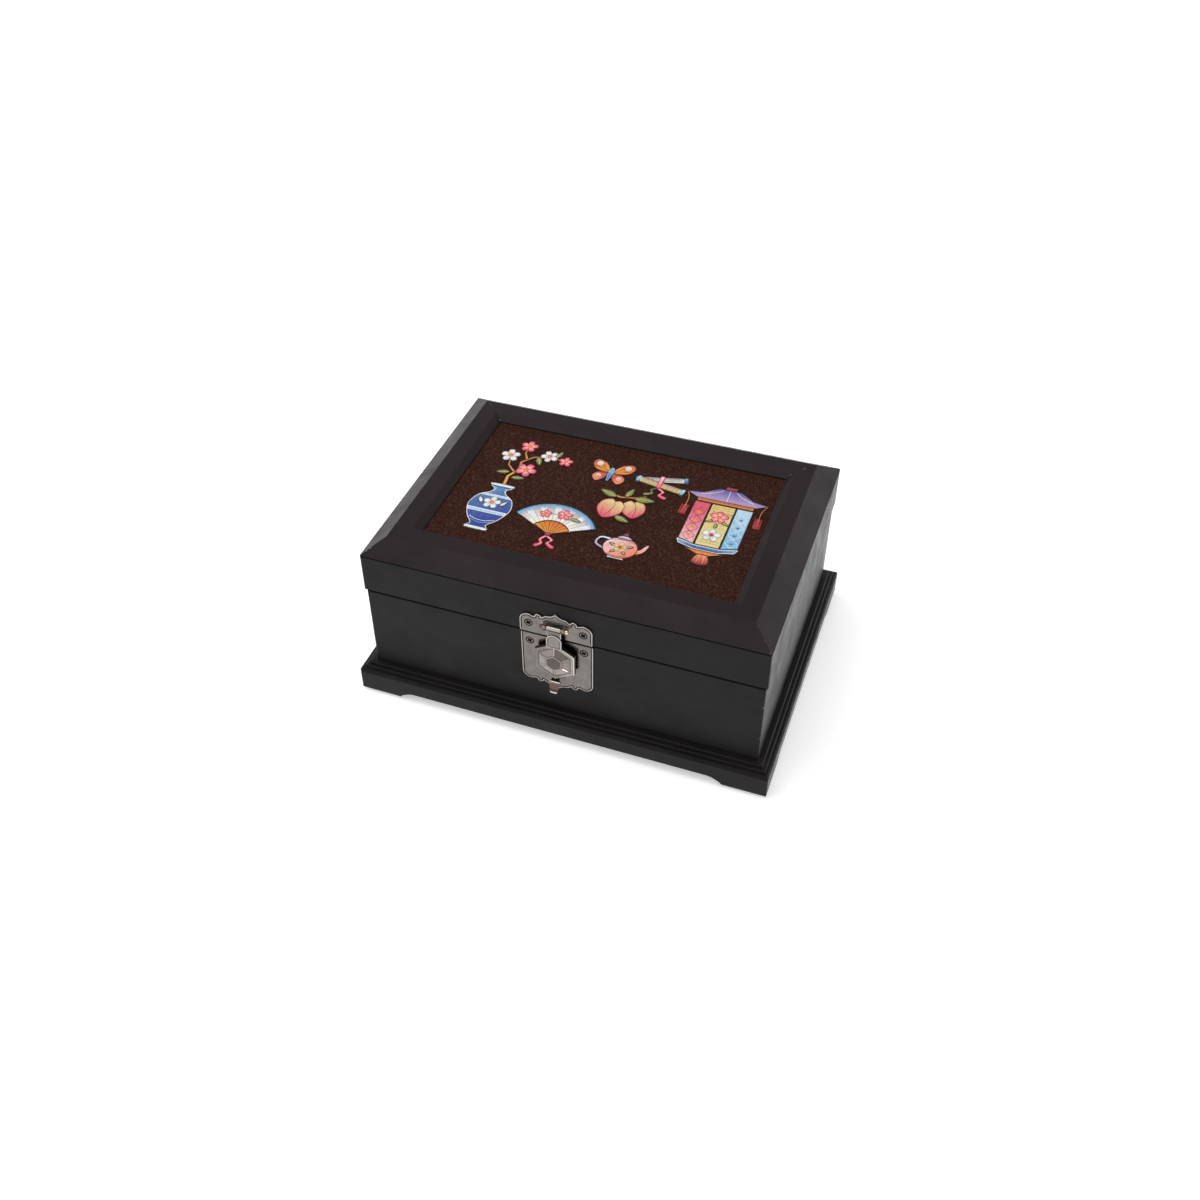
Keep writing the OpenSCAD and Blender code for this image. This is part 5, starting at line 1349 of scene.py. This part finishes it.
def turtle_shell(heap):
    """Rings at shares of the hexagon's radius. In each direction the radius is the inner radius
    over the cosine of the angle from the nearest side's middle. The height depends on the
    share: a raised cell in the middle, six sloping facets, a groove and a border. To it come
    ridges, exp(-(d / width)^2) at the distance d from the six lines to the corners."""
    off = np.array([0, 0.9, 1.9, 3.2, 5, 8, 13, 20])
    sector = np.concatenate([off, [30], 60 - off[:0:-1]])
    a = np.radians((90 + np.add.outer(np.arange(6) * 60, sector)).ravel())
    lean = np.radians(np.tile(sector, 6) - 30)
    reach = SHELL_R * math.cos(math.radians(30)) / np.cos(lean)
    share, level, dirt_and_shade, bright = np.array((
        (.02, 3.80, .50, 0), (.15, 3.80, .48, 0), (.30, 3.76, .45, 0), (.35, 3.74, .42, 0),
        (.37, 3.82, .2, .1),
        (.385, 3.90, 0, .28), (.40, 3.86, 0, .2), (.41, 3.65, .45, 0), (.425, 3.5, .6, 0),
        (.445, 3.46, .2, 0),
        (.47, 3.40, 0, 0), (.55, 3.14, 0, 0), (.63, 2.88, 0, 0), (.71, 2.62, 0, 0), (.75, 2.49, 0, 0),
        (.77, 2.42, .1, 0), (.785, 2.28, .4, 0), (.81, 2.28, .4, 0), (.825, 2.42, .1, .1), (.84, 2.5, 0, .2),
        (.86, 2.54, 0, .15), (.90, 2.54, 0, .05), (.94, 2.5, 0, .1), (.965, 2.42, 0, .4), (.985, 2.2, 0, .6),
        (.996, 1.95, 0, .3), (1, 1.6, .4, 0), (1, .8, .6, 0), (1, 0, .1, 0))).T
    x, z = (share[:, None] * reach * f(a) for f in (np.cos, np.sin))
    to_corner = np.hypot(x, z) * np.abs(np.sin(np.radians(30) - np.abs(lean)))
    between_lines = np.interp(share, [CELL, .44, .75, BORDER], [0, 1, 1, 0])[:, None]
    ridge = np.exp(-(to_corner / 0.34) ** 2) * between_lines
    # Painted glints on the lower right ridge and on the rim, and a painted shadow beside each ridge.
    degrees = np.degrees(a) % 360
    near_cell = ((share > .43) & (share < .65))[:, None]
    on_ridge = (np.abs(degrees - 330) < 12) * np.exp(-(to_corner / 0.6) ** 4) * near_cell
    on_rim = (np.abs(degrees - 305) < 5) * ((share > .82) & (share < .99))[:, None]
    glint = np.maximum(on_ridge, on_rim)
    shadow = np.exp(-((to_corner - 0.75) / 0.3) ** 2) * between_lines
    facet = FACET_SHADES[np.arange(6).repeat(len(sector))]
    tone = np.stack([between_lines * facet[:, k] for k in range(3)], -1)
    tone[..., 0] += 0.16 * np.clip((CELL - share) / 0.04, 0, 1)[:, None]
    # Painted highlight: the border is brighter on the side that faces the light.
    to_light = 0.15 + 1.1 * np.clip((np.cos(a - np.radians(20)) + 0.1) / 0.5, 0, 1)
    bright = bright[:, None] * np.where(share[:, None] > BORDER, to_light, 1)
    tone[..., 1] = np.maximum(tone[..., 1] * (1 - ridge),
                              np.maximum(dirt_and_shade[:, None] * (1 - ridge), 0.45 * shadow)) * (1 - glint)
    tone[..., 2] = np.maximum(np.maximum(tone[..., 2], bright), np.maximum(ridge * 0.25, glint))
    points = np.stack([x, SHELL_BACK - level[:, None] - 0.2 * ridge, SHELL_Z + z], -1)
    count = len(a)
    ends = np.arange(count)
    heap.add(points, grid_quads(len(share), count, True)[:, ::-1],
             np.stack([ends, (len(share) - 1) * count + ends[::-1]]), colour=tone)


print("the shell's facets have", len(FACET_SHADES), "tones")

# %% [markdown]
# ## Knuckle, strap and tab
# A rolled knuckle turns on the pin. Below it hangs a strap with a raised neck, and under the
# shell a tab for the finger comes out. They could be one swept bar, but on a real hasp they are
# separate stampings with dark seams between them. So each is a surface of its own with an
# edge table, and together they are one piece.

# %% Shape the hasp
# The dirt column also holds painted shade: the top rows, under the shell, are painted dark.
TAB = np.array((  # height, half width, middle of its thickness, thickness, dirt, brightness
    (53.0, 0.2, -89.5, 0.1, 1, 0), (53.0, 2.3, -89.5, 1.0, 1, 0), (51.0, 2.4, -89.8, 1.1, 1, 0),
    (49.0, 2.5, -90.3, 1.1, 1, 0), (48.5, 2.6, -90.5, 1.1, .8, 0), (48.3, 3.3, -90.8, 1.5, 0, .5),
    (48.0, 3.45, -91.0, 1.7, 0, .2), (47.4, 3.4, -91.3, 1.7, .2, 0), (46.0, 3.05, -92.0, 1.6, .3, 0),
    (44.6, 2.65, -92.7, 1.4, .35, 0), (43.7, 2.35, -93.1, 1.3, .7, 0), (43.3, 2.3, -93.3, 1.3, .75, 0),
    (43.0, 2.35, -93.5, 1.6, 0, .2), (42.6, 2.35, -93.6, 1.7, 0, .4), (42.1, 2.2, -93.65, 1.6, 0, .4),
    (41.9, 2.0, -93.7, 1.4, 0, .3), (41.9, 0.2, -93.7, 0.1, 0, 0)))


def finger_tab(heap):
    """A bar with a rounded, four-cornered section: the sine and cosine of the way round, each to
    a small power. It comes from under the shell, leans forward on its way down, and ends in a lip."""
    height, width, middle, thick, dirt_and_shade, bright = TAB.T
    sides = 32
    a = np.arange(sides) * 2 * np.pi / sides
    across, deep = (np.sign(v) * np.abs(v) ** 0.45 for v in (np.cos(a), np.sin(a)))
    points = np.stack([width[:, None] * across, middle[:, None] + thick[:, None] / 2 * deep,
                       height[:, None] + 0 * a], -1)
    end = np.arange(sides)
    heap.add(points, grid_quads(len(TAB), sides, True)[:, ::-1],
             np.stack([end, (len(TAB) - 1) * sides + end[::-1]]),
             colour=np.column_stack([0.55 * (1 - dirt_and_shade), dirt_and_shade, bright]).repeat(sides, 0))


KNUCKLE = ((0, 1.2), (0.0, 1.55), (0.012, 1.7), (0.035, 1.79), (0.06, 1.8), (0.5, 1.8),
           (0.94, 1.8), (0.965, 1.79), (0.988, 1.7), (1, 1.55), (1, 1.2))
# Edge rows: how far in, how far forward, dirt and painted shade, and brightness. The dark outer walls are
# painted shade round the raised strap and neck.
STRAP_EDGE = ((0, 0, .1, 0), (0, 1.0, .6, 0), (0.08, 1.2, 0, .3), (0.25, 1.35, 0, .4), (0.5, 1.4, 0, 0))
NECK_EDGE = ((0, 0, 1, 0), (0, 1.0, 1, 0), (0.1, 1.3, .8, 0), (0.25, 1.5, .1, .1), (0.45, 1.64, 0, .35),
             (0.8, 1.68, 0, .2), (1.1, 1.6, .35, 0), (1.5, 1.46, .2, 0), (1.9, 1.45, 0, .05))
STRAP_HALF, NECK_HALF = 4.3, 4.9

hasp = Heap()
turned_bar(hasp, -STRAP_HALF, STRAP_HALF, PIN_Y, PIN_Z, KNUCKLE, (0.2, 0, 0.4))
low, high = SHELL_Z + 7, PIN_Z - 0.2
strap = np.array([[-STRAP_HALF, low], [STRAP_HALF, low], [STRAP_HALF, high], [-STRAP_HALF, high]])
pressed(hasp, strap, PIN_Y + 0.7, STRAP_EDGE)
arch = arc(0, SHELL_Z + SHELL_R + 2.45, NECK_HALF, 0, 180, 24)
neck = np.array([[-NECK_HALF, SHELL_Z + 10.6], [NECK_HALF, SHELL_Z + 10.6]] + arch)
pressed(hasp, neck, PIN_Y + 0.35, NECK_EDGE)
turtle_shell(hasp)
finger_tab(hasp)
hasp.piece("hasp_shell", "hasp", "black_nickel", NICKEL, "hasp", crease=32)

# %% [markdown]
# ## Soft linings
# Inside, velvet covers thin pads that are glued to the boards. A pad is thick in its middle,
# falls off in a round edge, and is flat only underneath. A cloth simulation could puff it up,
# but boards hold it on all sides, so its form is known. One surface runs from the middle of
# the underside out to the edge and back over the top.

# %% Pads and wall bands
def rounded_ring(a, b, corner, steps=9):
    """A rectangle of half sizes a and b with round corners, as one closed ring of points."""
    corner = min(corner, a, b)
    return np.array(sum((arc(sx * (a - corner), sy * (b - corner), corner, low, low + 90, steps)
                         for sx, sy, low in ((1, -1, -90), (1, 1, 0), (-1, 1, 90), (-1, -1, 180))), []))


def pad(heap, x0, x1, y0, y1, z0, z1, edge, crown=0.0, side=1):
    """A low cushion. The inset from its outline goes from 0 to the middle. Its height is a
    quarter circle over the first edge millimetres, and then a crown: 1 - (1 - d / middle)^2.
    With side -1 the cushion hangs upside down."""
    around = 40
    a, b = (x1 - x0) / 2, (y1 - y0) / 2
    middle = min(a, b) - 0.05
    curve = np.concatenate([edge * (1 - np.cos(np.linspace(0, np.pi / 2, 7))),
                            np.geomspace(edge * 1.2, middle, 12)])
    rise = np.sqrt(np.maximum(1 - (1 - np.minimum(curve / edge, 1)) ** 2, 0))
    top = z0 + (z1 - z0 - crown) * rise + crown * (1 - (1 - curve / middle) ** 2)
    insets = np.concatenate([[middle, edge * 0.5], curve])
    heights = np.concatenate([[z0, z0], top])
    rings = [np.column_stack([rounded_ring(a - d, b - d, max(1.5 - d * 0.2, 0.2), around // 4 - 1),
                              np.full(around, h)]) for d, h in zip(insets, heights)]
    points = np.stack(rings) + [(x0 + x1) / 2, (y0 + y1) / 2, 0]
    if side < 0:
        points[..., 2] = z0 + z1 - points[..., 2]
    faces = grid_quads(len(rings), around, True)
    caps = np.stack([np.arange(around)[::-1], (len(rings) - 1) * around + np.arange(around)])
    heap.add(points, *((faces, caps) if side > 0 else (faces[:, ::-1], caps[:, ::-1])))


def wall_band(heap, w, d, thick, z0, z1):
    """A padded band round the inside of a rectangle: a closed section of how far in and how
    high, carried round the four sides."""
    height = z1 - z0
    t = np.linspace(0, 1, 25)
    to_end = np.minimum(t, 1 - t) * height
    bulge = thick * (0.82 + 0.18 * np.sin(np.pi * t)) * np.minimum(to_end / 0.9 + 0.35, 1) ** 0.5
    inward = np.concatenate([bulge, [0.06, 0.06]])
    level = np.concatenate([z0 + 0.1 + t * (height - 0.2), [z1 - 0.1, z0 + 0.1]])
    around = 28
    rings = [np.column_stack([rounded_ring(w / 2 - i, d / 2 - i, max(1.0 - i * 0.4, 0.3), around // 4 - 1),
                              np.full(around, h)]) for i, h in zip(inward, level)]
    heap.add(np.stack(rings), grid_quads(len(rings), around, True, True)[:, ::-1])


def box_mm(node):
    """The outer box of a solid, as x0, x1, y0, y1, z0, z1 in millimetres."""
    low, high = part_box(node)
    return low.x / MM, high.x / MM, low.y / MM, high.y / MM, low.z / MM, high.z / MM


def soft(heap, name, body, finish, slot, fill, *nodes):
    """Makes a padded piece of a heap. Fill is not used."""
    made = heap.piece(name, body, slot, finish, *nodes, crease=60)


print("a rounded ring has", len(rounded_ring(5, 3, 1)), "points")

# %% [markdown]
# ## Lining the case and the lid
# A pad lies on the floor of the case and another under the lid, and bands run round the walls
# of both. Each takes its place from the solid that stands for it. Its outline could be typed in
# again, but then it would be wrong as soon as the box got another size.

# %% Line the case and the lid
x0, x1, y0, y1, z0, z1 = box_mm("floor_pad")
floor_pad = Heap()
pad(floor_pad, x0 + .1, x1 - .1, y0 + .1, y1 - .1, z0, z1, 1.6, 0.5)
soft(floor_pad, "floor_velvet", "case", VELVET, "velvet", 0.7, "floor_pad")

x0, x1, y0, y1, z0, z1 = box_mm("wall_lining")
wall = Heap()
wall_band(wall, x1 - x0 - .1, y1 - y0 - .1, 1.15, z0, z1)
soft(wall, "wall_velvet", "case", VELVET, "velvet", 0.5, "wall_lining")

x0, x1, y0, y1, z0, z1 = box_mm("lid_side_lining")
wall = Heap()
wall_band(wall, x1 - x0 - .1, y1 - y0 - .1, 1.15, z0, z1)
soft(wall, "lid_wall_velvet", "lid", VELVET, "velvet", 0.5, "lid_side_lining")

x0, x1, y0, y1, z0, z1 = box_mm("lid_liner")
liner = Heap()
pad(liner, x0, x1, y0, y1, z0, z1, 0.9, 0.0, side=-1)
soft(liner, "lid_velvet", "lid", VELVET, "velvet", 0.9, "lid_liner")

# %% [markdown]
# ## The tray's pads and ring rolls
# The tray has three open bays with a pad in each, and one bay with six stuffed rolls that grip
# rings between them. A plain half cylinder would look like wood. A real roll sags a little
# between its stitches and is drawn shut at its ends, so the section follows a curve that stays
# flat for a long way and then closes at once.

# %% Shape the tray's pads and ring rolls
BAYS =((-106.2, -37.0, -71.2, -13.2), (-34.0, 35.2, -71.2, -13.2), (38.2, 106.2, -71.2, 71.2))
bays = Heap()
low, high = box_mm("bay_pads")[4:]
for x0, x1, y0, y1 in BAYS:
    pad(bays, x0 + .2, x1 - .2, y0 + .2, y1 - .2, low, high, 1.1, 0.4)
soft(bays, "bay_velvet", "case", VELVET, "velvet", 0.7, "bay_pads")


def ring_roll(heap, x0, x1, y, half, z0, z1):
    """A stuffed roll: along it the section keeps its size and closes over the last few
    millimetres, as one less the fourteenth power of the way from the middle. The section is a
    superellipse, flattened underneath."""
    stations, sides = 41, 28
    t = np.sin(np.linspace(-1, 1, stations) * np.pi / 2)
    size = np.maximum(1 - np.abs(t) ** 14, 0) ** 0.35 * 0.93 + 0.07
    a = np.arange(sides) * 2 * np.pi / sides
    sag = 0.12 * np.sin(t * 9 + y) + 0.08 * np.sin(t * 23)
    across = (half * size)[:, None] * np.sign(np.cos(a)) * np.abs(np.cos(a)) ** 0.75
    lift = np.sin(a)
    up = np.where(lift > 0, np.abs(lift) ** 0.8 * 0.62, -np.abs(lift) ** 0.5 * 0.38)
    z = z0 + (z1 - z0) * (0.38 + size[:, None] * up) + sag[:, None] * (up > 0)
    x = ((x0 + x1) / 2 + t * (x1 - x0) / 2)[:, None] + 0 * a
    points = np.stack([x, y + across, z], -1)
    end = np.arange(sides)
    heap.add(points, grid_quads(stations, sides, True)[:, ::-1],
             np.stack([end, (stations - 1) * sides + end[::-1]]))


x0, x1, y0, y1, z0, z1 = box_mm("ring_rolls")
rolls = Heap()
for k in range(6):
    ring_roll(rolls, x0 + .2, x1 - .2, y0 + (k + 0.5) * (y1 - y0) / 6, (y1 - y0) / 12 - 0.15, z0, z1 - 0.2)
soft(rolls, "ring_rolls_velvet", "case", VELVET, "velvet", 0.9, "ring_rolls")

# %% [markdown]
# ## Ribbon tabs and felt feet
# The tray lifts out by two loops of satin ribbon, folded over and glued inside its ends. Four
# discs of felt under the feet keep the box from scratching the table. A ribbon could be bent by
# a simulation, but so short a loop stands by its own stiffness, as a hairpin with a slight wave.

# %% Fold the ribbons and cut the felt
TAB_Y, TAB_W = -40.7, 12.0


def ribbon_loop(name, side):
    """A band carried over a hairpin: up one leg, round a half circle, and down the other."""
    x_out = box_mm("tray_pull_tabs")[1] - 0.15
    x_in = x_out - 0.85
    low, high = box_mm("tray_pull_tabs")[4:]
    middle, r = (x_out + x_in) / 2, (x_out - x_in) / 2
    a = np.linspace(0, np.pi, 15)
    bend = high - r - 0.15
    leg = np.linspace(low, bend, 12)
    x = np.concatenate([np.full(len(leg), x_out), middle + r * np.cos(a[1:-1]), np.full(len(leg), x_in)])
    z = np.concatenate([leg, bend + r * np.sin(a[1:-1]), leg[::-1]])
    y = np.linspace(-TAB_W / 2, TAB_W / 2, 17)
    wave = 0.05 * np.sin(y * 1.1)[None] * np.sin((z - low) * 0.5)[:, None]
    points = np.stack(np.broadcast_arrays(side * (x[:, None] + wave), TAB_Y + y, z[:, None]), -1)
    quads = grid_quads(len(x), len(y))
    heap = Heap().add(points, quads if side < 0 else quads[:, ::-1])
    loop = heap.piece(name, "case", "ribbon", RIBBON, "tray_pull_tabs")
    wall = loop.modifiers.new("thickness", "SOLIDIFY")
    wall.thickness, wall.offset = 0.2 * MM, 0


ribbon_loop("pull_tab_left", -1)
ribbon_loop("pull_tab_right", 1)
feet = Heap()
radii, heights = np.array([(0.3, 0), (5.6, 0), (5.9, 0.1), (6, 0.3), (5.95, 0.6), (5.7, 0.8), (0.3, 0.8)]).T
sides = 40
end = np.arange(sides)
a = end * 2 * np.pi / sides
for x in (-118.25, 118.25):
    for y in (-83.25, 83.25):
        disc_points = np.stack([x + radii[:, None] * np.cos(a), y + radii[:, None] * np.sin(a),
                                heights[:, None] + 0 * a], -1)
        feet.add(disc_points, grid_quads(len(radii), sides, True),
                 np.stack([end[::-1], (len(radii) - 1) * sides + end]))
feet.piece("felt_feet", "case", "felt", FELT, "foot_pads", crease=70)

# %% [markdown]
# ## Size
# Nothing that was added may make the box larger. The box could be measured by eye in a
# render, but the outer box of the solids and that of the finished pieces are known exactly,
# so both are worked out, and the size of the finished one is printed.

# %% Finish
size = {"cad": [list(v) for v in cad_box], "visual": [list(v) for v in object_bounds()]}
print("outer box in mm:", [round((high - low) / MM, 1) for low, high in zip(*size["visual"])])
